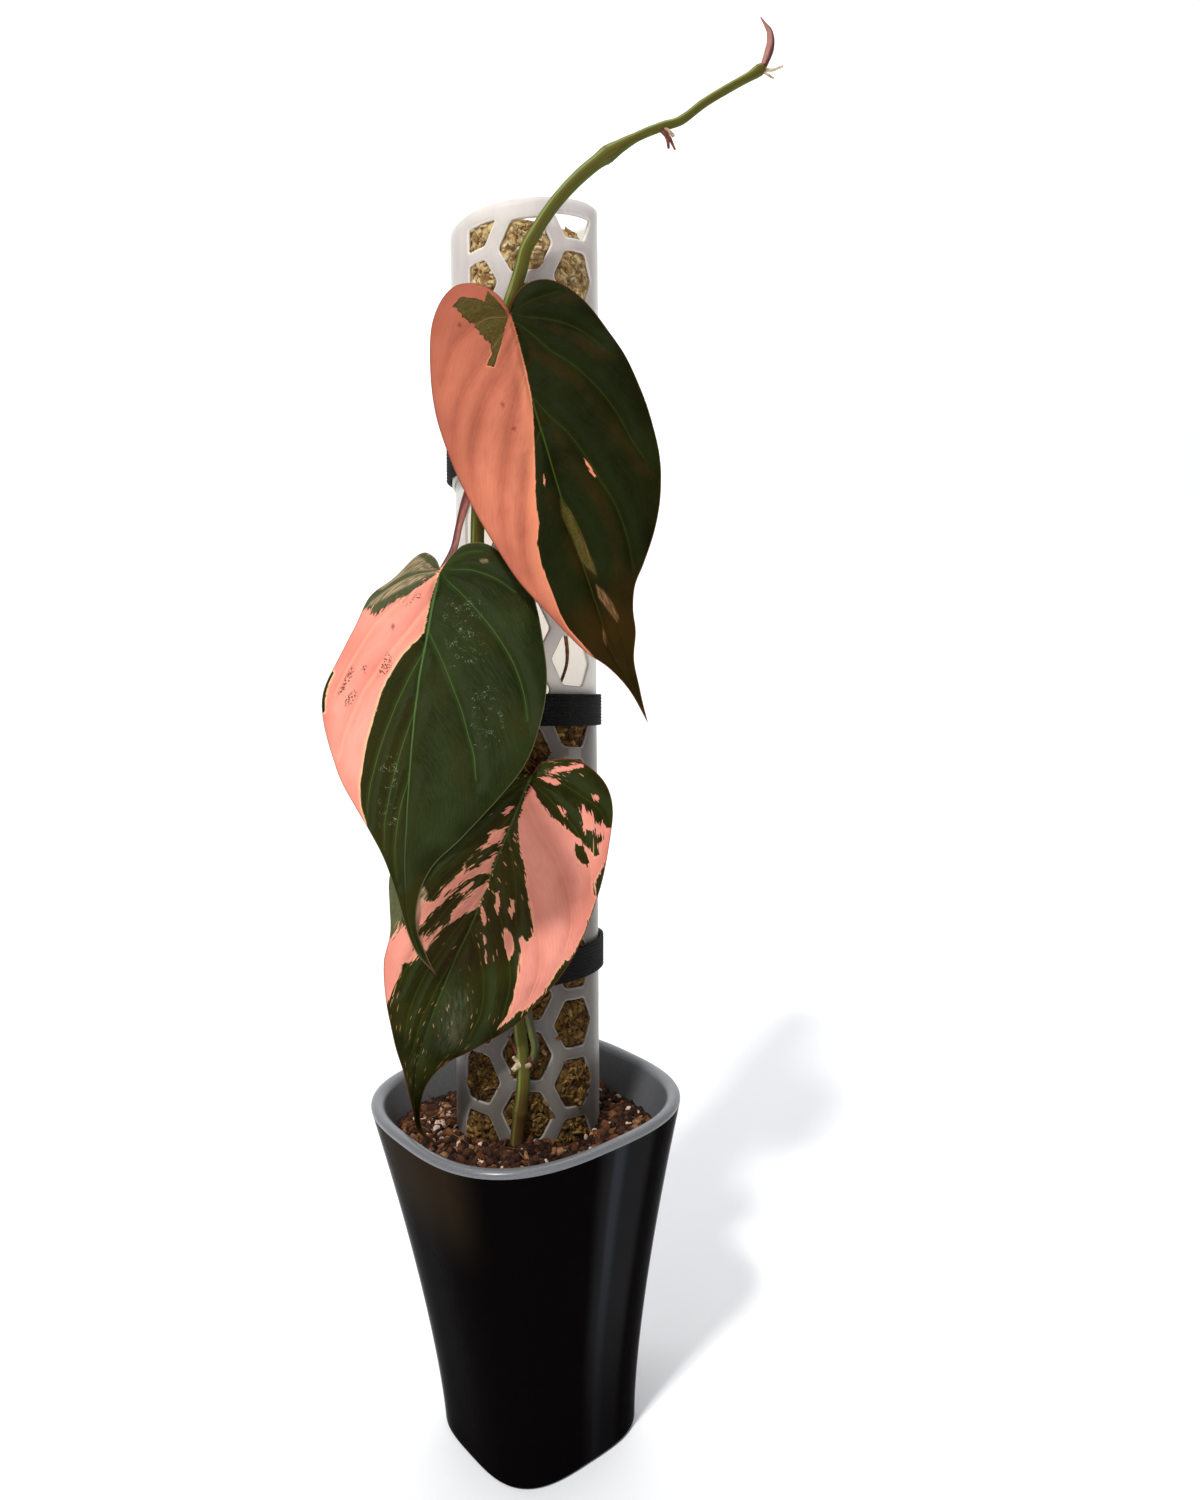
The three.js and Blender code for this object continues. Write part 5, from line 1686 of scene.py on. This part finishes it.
@dataclass
class AerialRoots:
    """Roots inside the pole, across the stretch that holds no moss."""

    strands: Sequence[Points] = (
        ((-20, 228.4, 17), (-8, 213, 18), (4, 196, 19.5), (14, 180, 20), (12, 168, 19.5), (16, 157.6, 18)),
        ((-20, 228.2, 17), (6, 216, 17.5), (26, 200, 19), (40, 184, 20), (46, 170, 20), (38, 161, 19)),
        ((-20, 228.4, 17), (-28, 212, 18.5), (-40, 198, 20), (-34, 182, 20), (-22, 172, 19)),
    )
    radii: Points = ((0, 1.1), (0.6, 0.8), (1, 0.5))
    skin: PlainFinish = PlainFinish((126, 84, 48), (66, 38, 20), 0.75, 500, 0.0003)

    def dress(self) -> None:
        """Builds the roots and gives them their finish."""
        share, sweeps = np.linspace(0, 1, 110), []
        for seed, strand in enumerate(self.strands):
            places = SmoothCurve([PoleAxis.place(*point) for point in strand]).at(share)
            radii = np.interp(share, *np.array(self.radii).T) * (1 + 0.14 * roughness_field(places, 2.4, 3.0 + seed))
            sweeps.append(Sweep.along(places, radii, 14))
        piece = reduce(Sweep.join, sweeps).piece("aerial_root_strands")
        settle(piece, self.skin.material("aerial_root_skin"), "root", "aerial_roots")


LOWER = Sleeve("sleeve_lower", foot=-56, head=251, radius_foot=25.35, radius_head=23.7, skew=-0.07, turn=1,
               first_window=15.7, rows=11, left_limit=-54, top=236, lifts=(0.0, 1.4))
UPPER = Sleeve("sleeve_upper", foot=236, head=319, radius_foot=25.05, radius_head=25.05, skew=0.14, turn=2.6,
               first_window=263, rows=4, left_limit=-44, top=314, lifts=(1.4, 2.8))

G, P = Ground.GREEN, Ground.PINK

TOP_PATCHES = (
    Patch((16, -36, 1, 4, 0, 46, -6, 122, -14, 203, -23, 269, -33, 315, -48, 365, -72, 444, -100, 534, -115, 578,
        -127, 626, -132, 659, -147, 700, -159, 723, -162, 748, -168, 791, -165, 839, -162, 893, -160, 946, -150, 997,
        -127, 1050, -95, 1121, -90, 1500, 600, 1500, 600, -300, 16, -300), G, 0.12),
    Patch((-6, 6, -29, -48, -46, -84, -54, -68, -66, -51, -86, -67, -124, -86, -139, -88, -144, -76, -165, -67,
        -154, -57, -156, -46, -147, -36, -151, -22, -136, -12, -134, -1, -114, 4, -124, 16, -114, 32, -117, 48,
        -104, 52, -109, 70, -92, 74, -94, 90, -99, 115, -128, 146, -106, 158, -63, 96, -25, 34), G, 0.16, Stain.OLIVE),
    Patch((67, 518, 77, 542, 82, 577, 77, 585, 70, 563, 65, 538), P, 0.2),
    Patch((-71, 527, -73, 549, -82, 569, -80, 550), P, 0.3),
    Patch((-45, 613, -29, 658, -20, 720, -15, 775, -11, 822, -13, 871, -32, 846, -45, 812, -50, 738, -58, 662),
        stain=Stain.OLIVE),
    Patch((-24, 901, -5, 930, 7, 974, 14, 1016, 4, 1026, -11, 988, -28, 936), stain=Stain.BEIGE),
    Patch((-47, 1032, -43, 1049, -51, 1086, -55, 1068), stain=Stain.BEIGE),
    Patch((-140, 960, 300, 840, 300, 1500, -200, 1500), stain=Stain.BRONZE),
    Patch((-164, -11, -157, -4, -164, 3, -171, -4), stain=Stain.DOT),
    Patch((-121, 274, -114, 281, -121, 288, -128, 281), stain=Stain.DOT),
    Patch((-111, 355, -104, 362, -111, 369, -118, 362), stain=Stain.DOT),
)
TOP_VEINS = (
    (17, 0, 70, -12, 122, -18, 173, -18),
    (25, 23, 97, 54, 140, 76, 193, 117, 239, 179),
    (37, 83, 79, 155, 125, 213, 168, 282, 196, 346, 220, 423, 233, 500, 253, 572),
    (-18, 292, 9, 357, 39, 411, 65, 480, 83, 542, 92, 594, 107, 647, 117, 716, 117, 797, 105, 891),
    (-38, 618, -17, 722, -17, 819),
    (-13, 9, -72, 0, -138, 19, -211, 61, -282, 152),
    (-16, 39, -102, 106, -192, 177, -258, 246, -318, 356),
    (-23, 106, -94, 177, -163, 248, -239, 353, -284, 469, -296, 579),
    (-30, 223, -89, 306, -153, 418, -205, 531, -248, 678, -252, 758),
    (-55, 417, -122, 527, -186, 668, -214, 788, -209, 871),
)
MIDDLE_PATCHES = (
    Patch((24, -24, 4, 10, -7, 33, -17, 66, -26, 106, -33, 145, -40, 184, -45, 212, -61, 234, -85, 256, -110, 284,
        -134, 322, -156, 360, -175, 404, -192, 454, -205, 503, -219, 553, -228, 596, -236, 652, -244, 701, -245, 745,
        -243, 764, -230, 813, -213, 861, -300, 1500, 600, 1500, 600, -300, 24, -300), G, 0.15),
    Patch((-1, 8, -36, 42, -71, 64, -96, 84, -124, 103, -146, 116, -169, 124, -198, 146, -224, 151, -222, 131,
        -252, 137, -274, 133, -241, 95, -196, 48, -139, -6, -94, -48, -48, -67, -6, -38), G, 0.9, Stain.OLIVE),
    Patch((-10, 12, -70, 26, -113, 40, -159, 65, -202, 93, -229, 115, -219, 122, -172, 97, -126, 72, -87, 53, -45, 30),
        stain=Stain.BEIGE),
    Patch((-8, 7, -68, -38, -99, -25, -141, 13, -180, 48, -200, 70, -183, 68, -147, 39, -108, 17, -62, 8),
        stain=Stain.BEIGE),
    Patch((-353, 330, -374, 372, -405, 424, -389, 466, -376, 463, -377, 424, -366, 378, -345, 337), G, 0.2),
    Patch((-86, 106, -76, 90, -54, 86, -52, 98, -72, 106), stain=Stain.SCAR),
    Patch((-106, 128, -96, 112, -82, 108, -86, 122), stain=Stain.SCAR),
    Patch((-194, 350, -182, 310, -163, 275, -149, 280, -142, 325, -164, 346), stain=Stain.SCAR),
    Patch((-330, 406, -306, 354, -284, 318, -269, 324, -284, 364, -312, 404), stain=Stain.SCAR),
    Patch((-246, 340, -240, 314, -228, 316, -232, 340), stain=Stain.SCAR),
    Patch((-306, 444, -298, 416, -266, 392, -260, 404, -278, 436), stain=Stain.SCAR),
    Patch((4, 101, 139, 101, 160, 300, 40, 320), stain=Stain.SCUFF),
    Patch((100, 380, 200, 380, 225, 570, 120, 580), stain=Stain.SCUFF),
    Patch((-190, 620, -120, 580, -120, 820, -180, 840), stain=Stain.SCUFF),
    Patch((-143, 181, -137, 190, -143, 202, -149, 190), stain=Stain.DOT),
    Patch((135, -25, 156, -23, 157, -14, 136, -15), stain=Stain.BEIGE),
    Patch((-30, 960, 400, 800, 400, 1500, -300, 1500, -200, 1040), stain=Stain.BRONZE),
    Patch((-60, 220, -50, 600, -100, 1000, -200, 960, -240, 700, -170, 420), stain=Stain.BRONZE),
)
MIDDLE_VEINS = (
    (34, 8, 100, 9, 148, 22, 196, 44, 244, 79),
    (25, 40, 69, 80, 119, 132, 158, 177, 200, 234, 239, 298, 265, 361, 281, 424, 291, 488),
    (-25, 218, 8, 282, 37, 346, 64, 410, 88, 473, 105, 537, 124, 600, 131, 678),
    (24, -9, 50, -30, 99, -49, 140, -52),
    (-5, 10, -78, 24, -143, 56, -209, 103, -253, 141),
    (-11, 33, -76, 73, -140, 124, -216, 200, -289, 312, -340, 408),
    (-27, 121, -89, 202, -168, 298, -244, 409, -301, 537, -325, 618),
    (-42, 266, -91, 362, -141, 474, -186, 601, -220, 745, -223, 815),
    (-63, 442, -100, 553, -136, 680, -162, 807, -167, 903),
    (-83, 664, -113, 775, -130, 887, -125, 999),
)
LOWER_PATCHES = (
    Patch((-600, -300, 600, -300, 600, 1600, -600, 1600), G, 0.5),
    Patch((7, 31, 1, 67, 0, 109, 5, 158, 19, 195, 42, 238, 69, 289, 90, 342, 115, 386, 135, 423, 150, 453, 158, 490,
        146, 507, 124, 491, 120, 506, 132, 537, 144, 587, 153, 639, 159, 702, 159, 759, 148, 810, 137, 838, 176, 802,
        203, 747, 225, 709, 255, 661, 274, 613, 294, 553, 310, 481, 319, 403, 324, 317, 304, 285, 299, 268, 308, 231,
        310, 197, 334, 194, 324, 123, 304, 89, 276, 91, 284, 127, 269, 148, 287, 177, 277, 188, 235, 165, 212, 146,
        183, 137, 143, 119, 94, 100, 49, 68), P, 0.4),
    Patch((186, 39, 215, 61, 242, 79, 274, 83, 286, 110, 265, 124, 242, 105, 212, 121, 194, 92), P, 0.7),
    Patch((199, 167, 226, 164, 262, 209, 253, 222, 230, 217, 204, 190), G, 0.7),
    Patch((27, -2, 51, -13, 78, -14, 98, -3, 78, 8, 53, 5), P, 0.5),
    Patch((204, 1, 223, -3, 234, 9, 219, 17), P, 0.5),
    Patch((113, 65, 127, 67, 148, 80, 135, 82), P, 0.5),
    Patch((-28, 175, -28, 214, -31, 254, -32, 294, -33, 333, -27, 378, -35, 449, -68, 480, -100, 512, -125, 542,
        -145, 589, -158, 633, -179, 636, -199, 598, -228, 570, -253, 510, -249, 457, -209, 477, -172, 474, -160, 427,
        -139, 386, -118, 345, -120, 320, -86, 270, -69, 219), P, 0.6),
    Patch((-114, 344, -118, 320, -95, 283, -62, 252, -29, 239, -34, 261, -75, 320, -109, 345), G, 0.7),
    Patch((-33, 333, -67, 347, -106, 384, -135, 428, -148, 467, -178, 511, -201, 563, -202, 599, -163, 586, -140, 551,
        -113, 525, -110, 480, -89, 439, -60, 396, -31, 353), G, 0.8),
    Patch((-75, 370, -94, 392, -112, 421, -94, 416, -76, 387), P, 0.5),
    Patch((-59, 142, -41, 119, -24, 106, -27, 121, -43, 145), P, 0.4),
    Patch((-79, 215, -57, 194, -33, 186, -42, 201, -62, 220), P, 0.4),
    Patch((-294, 647, -275, 635, -254, 574, -226, 587, -197, 629, -172, 666, -194, 687, -212, 703, -211, 749, -218, 804,
        -222, 851, -238, 877, -292, 747), P, 0.8),
    Patch((-365, 458, -358, 415, -303, 460, -271, 517, -252, 579, -261, 621, -283, 639, -330, 548), stain=Stain.OLIVE),
    Patch((-246, 456, -222, 434, -203, 452, -202, 509, -207, 573, -237, 539), stain=Stain.BEIGE),
    Patch((2, 389, 11, 382, 27, 414, 26, 448, 13, 425), P, 0.4),
    Patch((52, 389, 65, 391, 77, 424, 76, 449, 60, 420), P, 0.4),
    Patch((-29, 441, -18, 445, 4, 483, -1, 502, -20, 472), P, 0.4),
    Patch((3, 525, 14, 531, 22, 552, 17, 558), P, 0.4),
    Patch((23, 573, 35, 583, 46, 618, 37, 614), P, 0.4),
    Patch((46, -27, 69, -52, 146, -85, 148, -77, 82, -40), P, 0.5),
    Patch((106, 64, 124, 68, 153, 96, 135, 92), P, 0.6),
    Patch((194, 739, 224, 740, 200, 803, 162, 852, 124, 876, 129, 841, 168, 788), G, 0.3),
    Patch((283, 536, 310, 539, 294, 609, 270, 666, 249, 670, 264, 615), G, 0.3),
    # Painted sheen on the green low on the blade
    Patch((-34, 760, 0, 740, 30, 810, 34, 920, -4, 950, -30, 870), stain=Stain.BLOOM),
    # Painted shadow of the middle leaf over this blade's upper part
    Patch((2, 16, 67, 70, 151, 146, 220, 212, 261, 269, 273, 326, 250, 400, 189, 453, 148, 473, 125, 522, 98, 601,
        42, 645, -17, 677, -98, 707, -185, 602, -205, 451, -96, 254, -21, 64), stain=Stain.FLUSH),
    Patch((66, 483, 98, 503, 115, 551, 110, 584, 85, 551, 70, 512), P, 0.5),
    Patch((298, 268, 308, 231, 314, 196, 343, 211, 352, 283, 329, 330, 313, 307), G, 0.4),
)
LOWER_VEINS = (
    (10, 19, 80, 55, 162, 104, 231, 161, 278, 232, 303, 309),
    (0, 81, 78, 155, 164, 235, 233, 326, 270, 419, 278, 510),
    (-10, 216, 57, 300, 126, 389, 185, 492, 217, 595, 215, 697),
    (-27, 353, 37, 451, 96, 552, 137, 664, 148, 790),
    (-17, 190, 16, 257, 57, 343, 96, 466),
    (-45, 510, 15, 597, 57, 689, 75, 794, 63, 894),
    (12, 6, 94, -4, 168, 14, 246, 43, 288, 99),
    (-6, 10, -52, 63, -120, 165, -187, 269, -250, 390),
    (-11, 110, -55, 211, -117, 329, -180, 450, -223, 586),
    (-21, 245, -65, 337, -114, 446, -162, 564, -196, 700, -204, 795),
    (-32, 388, -67, 492, -102, 597, -134, 714, -147, 849, -134, 962),
    (-44, 555, -67, 657, -86, 753, -100, 871, -98, 1009),
)

LEAVES = (
    BladeShape(
        "leaf_top", (6.8, -4.7, 388.6), (0.285, -0.122, -0.951), (0.077, -0.986, 0.149), 5, -3, 1.6, 6, 3,
        (0, 0, -9, 140, -25, 275, -33, 440, -41, 630, -43, 800, -41, 1000, -41, 1110, -8, 1250, 4, 1368),
        (0, 0, -12, -53, -46, -99, -90, -124, -136, -132, -187, -108, -244, -38, -290, 79, -322, 220, -327, 380,
         -313, 523, -286, 670, -251, 804, -195, 934, -126, 1077, -64, 1157, -23, 1246, 4, 1368),
        (0, 0, 22, -35, 59, -66, 109, -76, 161, -62, 213, -16, 264, 81, 306, 220, 321, 400, 312, 535, 272, 676,
         211, 791, 138, 885, 95, 936, 66, 1005, 52, 1075, 20, 1157, 10, 1250, 4, 1368),
        TOP_VEINS, TOP_PATCHES,
        BladeColours(
            pink=(204, 119, 92), pink_deep=(158, 86, 66), pink_painted_highlight=(220, 134, 104), pink_glow=(226, 140, 104),
            # Its crease tone is darker than its pink: painted shade in the creases
            vein_tint_and_crease_shade=(184, 100, 76), green=(29, 31, 7), green_deep=(20, 20, 3), sheen_and_mottle_green=(28, 36, 14),
            vein=(54, 64, 22), midrib=(60, 74, 26), olive=(98, 82, 40), beige=(142, 102, 70), bronze=(50, 34, 8),
            tip=(84, 56, 30), rim=(116, 62, 40), painted_shade_share=0.9, glow_width=4.5, crest_share=0.5, vein_tint_and_crease_shade_share=0.3),
        1.3, 0.4, 1.0),
    BladeShape(
        "leaf_middle", (-19, -8.5, 310.2), (-0.045, -0.154, -0.987), (-0.118, -0.98, 0.158), 4, -2, 1.6, 5, 3,
        (0, 0, -21, 121, -40, 250, -59, 378, -78, 585, -94, 823, -101, 983, -90, 1128, -51, 1249, -5, 1310),
        (0, 0, -13, -29, -44, -49, -74, -38, -155, 35, -228, 92, -277, 189, -344, 308, -388, 424, -371, 538, -330, 650,
         -273, 756, -208, 860, -155, 962, -110, 1122, -70, 1230, -5, 1310),
        (0, 0, 24, -25, 75, -72, 140, -79, 194, -50, 265, 23, 310, 119, 334, 232, 348, 350, 329, 503, 283, 630,
         197, 741, 86, 862, -13, 957, -56, 1053, -63, 1160, -34, 1250, -5, 1310),
        MIDDLE_VEINS, MIDDLE_PATCHES,
        BladeColours(
            pink=(240, 154, 134), pink_deep=(222, 128, 110), pink_painted_highlight=(248, 170, 150), pink_glow=(248, 190, 142),
            vein_tint_and_crease_shade=(248, 184, 150), green=(42, 50, 20), green_deep=(27, 33, 8), sheen_and_mottle_green=(50, 58, 34),
            vein=(80, 102, 54), midrib=(84, 114, 60), olive=(92, 96, 66), beige=(176, 150, 118), bronze=(46, 42, 12),
            tip=(100, 50, 36), rim=(112, 104, 76), glow_width=1.2, vein_tint_and_crease_shade_share=0.5),
        0.9, 0.4, 2.0),
    BladeShape(
        "leaf_lower", (7.8, -18.3, 243.4), (-0.338, 0.038, -0.94), (-0.024, -0.999, -0.035), 9, -2, 1.4, 4, 3,
        (0, 0, -12, 120, -27, 305, -39, 500, -57, 640, -72, 837, -73, 1010, -61, 1110, -34, 1220, 4, 1302, 70, 1332),
        (0, 0, -40, -23, -115, -27, -197, 37, -260, 153, -309, 296, -338, 435, -310, 534, -282, 620, -273, 725,
         -227, 859, -162, 989, -101, 1104, -44, 1220, -6, 1302, 30, 1330, 70, 1332),
        (0, 0, 14, -43, 64, -76, 126, -92, 186, -76, 242, -38, 283, 26, 304, 120, 322, 270, 320, 410, 302, 543,
         257, 673, 198, 790, 93, 923, 22, 1007, -16, 1086, -23, 1160, 4, 1285, 36, 1315, 70, 1332),
        LOWER_VEINS, LOWER_PATCHES,
        BladeColours(
            pink=(234, 150, 132), pink_deep=(214, 126, 108), pink_painted_highlight=(240, 162, 142), pink_glow=(238, 168, 132),
            vein_tint_and_crease_shade=(238, 168, 140), green=(42, 44, 10), green_deep=(27, 26, 3), sheen_and_mottle_green=(50, 58, 30),
            vein=(62, 70, 24), midrib=(66, 88, 42), olive=(106, 110, 76), beige=(192, 166, 132), bronze=(48, 40, 8),
            tip=(110, 84, 56), rim=(124, 66, 48), glow_width=0.9, vein_tint_and_crease_shade_share=0.3, fleck_share=0.26),
        0.9, 0.4, 3.0),
)

PETIOLES = (
    Petiole("petiole_top", ((0.3, 1.65, 358), (3.4, -0.9, 361.5), (6.1, -2.7, 369), (7.1, -3.2, 379), (7, -3.05, 387)),
            (1.7, 1.25), (176, 150, 110), (70, 50, 34)),
    Petiole("petiole_middle", ((-9, 0.7, 334.6), (-10.6, 0.2, 331), (-12.9, -1.6, 323.5), (-14.8, -4, 316.2),
            (-18.8, -6.95, 308.9)), (1.7, 1.15), (188, 124, 108), (92, 38, 36)),
    Petiole("petiole_lower", ((4.1, -18.4, 146.8), (5, -19, 151), (4, -19.6, 158), (2.6, -20, 170), (2.3, -19.9, 184),
            (3.6, -18.4, 210), (6.4, -16.8, 230), (7.5, -16.6, 241.9)), (1.4, 1.2), (94, 100, 44), (46, 44, 20)),
)

SCRAPS = (
    Scraps("vine_root_stubs", PlainFinish((206, 192, 166), (150, 122, 88), 0.8, 700, 0.0003), (
        ((1.5, 0.8), ((0.9, -17, 145.4), (-1.2, -19.4, 145.4), (-2.8, -20.4, 144.2))),
        ((0.9, 0.5), ((0.6, -17, 146), (-1.4, -19.2, 147.2), (-2.4, -19.8, 148.8))),
        ((1.2, 0.7), ((1, -17, 145.6), (2.2, -19.6, 145.2), (3, -20.4, 146.2))),
        ((0.6, 0.35), ((89.4, 7.7, 463.6), (92.7, 7.2, 463), (96.4, 7.2, 464.1))),
        ((0.5, 0.3), ((89.4, 7.7, 463.4), (91.4, 7, 461.6), (93.4, 6.8, 460.3))),
        ((0.6, 0.5), ((56.9, 2.4, 445), (59, 1.6, 443.4), (60.5, 1.3, 441.7))),
    )),
    Scraps("vine_old_sheaths", PlainFinish((120, 66, 48), (52, 28, 24), 0.7, 500, 0.0004), (
        ((1.1, 0.35), ((0.6, -17.4, 147), (-1.5, -18.2, 150.5), (-3.6, -17.8, 155.2))),
        ((1.5, 0.9), ((2.2, -18.5, 144.5), (3.4, -18.9, 147), (4.8, -19.2, 149.5))),
        ((0.95, 0.35), ((56.5, 2.4, 444.6), (58.2, 1.4, 441.7), (58.7, 1, 438.1))),
        ((0.85, 0.3), ((57, 2.5, 444.6), (59.2, 1.5, 441), (60.7, 0.9, 437.6))),
    )),
)



@dataclass(frozen=True)
class PaperFinish(Finish):
    """Plain matt paper."""

    tone: Tone = (246, 246, 247)

    def lay(self, sheet: NodeSheet) -> Feeds:
        """Lays the paper's one colour."""
        return dict(Base_Color=self.tone, Roughness=0.9)


@dataclass(frozen=True)
class Lamp:
    """One softbox, with places and sizes in metres."""

    name: str
    place: Row
    target: Row
    size: tuple[float, float]
    watts: float

    def light(self) -> None:
        """Adds the softbox to the scene."""
        data = bpy.data.lights.new(self.name, "AREA")
        data.shape, (data.size, data.size_y), data.energy = "RECTANGLE", self.size, self.watts
        lamp = add_object(self.name, data)
        lamp.location = self.place
        lamp.rotation_euler = (Vector(self.target) - Vector(self.place)).to_track_quat("-Z", "Y").to_euler()


@dataclass
class Studio:
    """Camera, floor and lights of the photograph's setting."""

    eye: Row = (18.8, -367.9, 302.9)
    right: Row = (0.9987, -0.0371, -0.0337)
    up: Row = (0.0388, 0.1464, 0.9885)
    forward: Row = (0.0317, 0.9885, -0.1477)
    lens: float = 26.4
    sensor: float = 36.0
    half_floor: float = 3000
    bend_start: float = 900
    bend_radius: float = 500
    air: Tone = (222, 224, 228)
    air_strength: float = 0.4
    lamps: Sequence[Lamp] = (
        Lamp("key", (-0.72, -1.42, 2.35), (0, 0, 0.28), (0.28, 0.28), 58),
        Lamp("fill", (0.5, -1.5, 0.35), (0, 0, 0.25), (1.0, 1.0), 3.0),
        Lamp("top", (0.1, 0.1, 1.5), (0, 0, 0.3), (0.8, 0.8), 2.0),
        Lamp("backdrop", (0, 0.35, 1.6), (0, 1.4, 0.4), (1.8, 0.4), 13),
    )

    def camera(self) -> None:
        """Sets the camera where the photograph was taken from."""
        data = bpy.data.cameras.new("camera")
        data.lens, data.sensor_width = self.lens, self.sensor
        data.clip_start, data.clip_end = 0.01, 20
        eye = add_object("camera", data)
        turn = Matrix((self.right, self.up, -Vector(self.forward))).transposed()
        eye.matrix_world = Matrix.Translation(Vector(self.eye) * MM) @ turn.to_4x4()
        bpy.context.scene.camera = eye

    def floor(self) -> None:
        """Lays a pale floor that curves up into the backdrop."""
        wide, start, radius = self.half_floor, self.bend_start, self.bend_radius
        profile = [(-wide, 0), (start, 0)]
        profile += [(start + radius * math.sin(turn), radius - radius * math.cos(turn))
                    for turn in np.linspace(0.1, 1.5, 14)]
        profile += [(start + radius, radius + 60), (start + radius, wide)]
        vertices = np.array([(x, y, z) for y, z in profile for x in (-wide, wide)])
        piece = make_piece("studio_floor", vertices, grid_faces(len(profile), 2, closed=False))
        piece.data.materials.append(PaperFinish().material("studio_paper"))

    def build(self) -> None:
        """Sets up the whole studio."""
        self.camera()
        self.floor()
        for lamp in self.lamps:
            lamp.light()
        world = bpy.data.worlds.new("studio_air")
        world.use_nodes = True
        sky = world.node_tree.nodes["Background"].inputs
        sky["Color"].default_value, sky["Strength"].default_value = linear(self.air), self.air_strength
        bpy.context.scene.world = world
        bpy.context.scene.view_settings.view_transform = "Standard"


def main() -> None:
    """Builds every piece in order, then the studio."""
    logging.basicConfig(level=logging.INFO, format="%(name)s: %(message)s")
    pot = Pot()
    pot.dress()
    Soil(pot).dress()
    LOWER.dress(SheetFinish((104, 97, 91), (120, 113, 107), (148, 149, 140), (164, 159, 150), 0.8, dry_from=157))
    UPPER.dress(SheetFinish((214, 203, 200), (222, 214, 204), (222, 225, 216), (228, 222, 216), 0.68))
    tree = ScatterTree("strew_moss", Scatter.STRAND)
    straw = StrewnFinish(((186, 150, 92), (222, 200, 150), (236, 220, 178), (204, 174, 118), (160, 122, 70)),
                         260, (112, 76, 38), 0.75)
    damp = StrewnFinish(((112, 82, 34), (146, 112, 58), (88, 58, 22), (126, 92, 40), (170, 138, 86)),
                        260, (46, 27, 11), 0.85)
    Moss("moss_upper", UPPER, 229, 311, 8, straw, PlainFinish((206, 178, 124), (124, 88, 46), 0.9), "moss_dry",
         rise=3.6).dress(tree)
    Moss("moss_lower", LOWER, -52, 157, 3, damp, PlainFinish((104, 78, 36), (40, 24, 10), 0.9),
         "moss_damp").dress(tree)
    AerialRoots().dress()
    vine = Vine((LOWER, UPPER))
    vine.dress()
    for scraps in SCRAPS:
        scraps.dress()
    webbing = WebbingFinish().material("strap_weave")
    for name, sleeve, height, width, tilt in (("strap_lower", LOWER, 65, 10.8, 4.5),
                                              ("strap_middle", LOWER, 153.5, 10.8, -1),
                                              ("strap_top", UPPER, 238.5, 10.6, 2)):
        Strap(name, sleeve, height, width, tilt, vine.turn_at(height)).dress(webbing)
    for petiole in PETIOLES:
        petiole.dress()
    for shape in LEAVES:
        Blade(shape).dress()
    NewLeaf().dress()
    Studio().build()


if __name__ == "__main__":
    main()
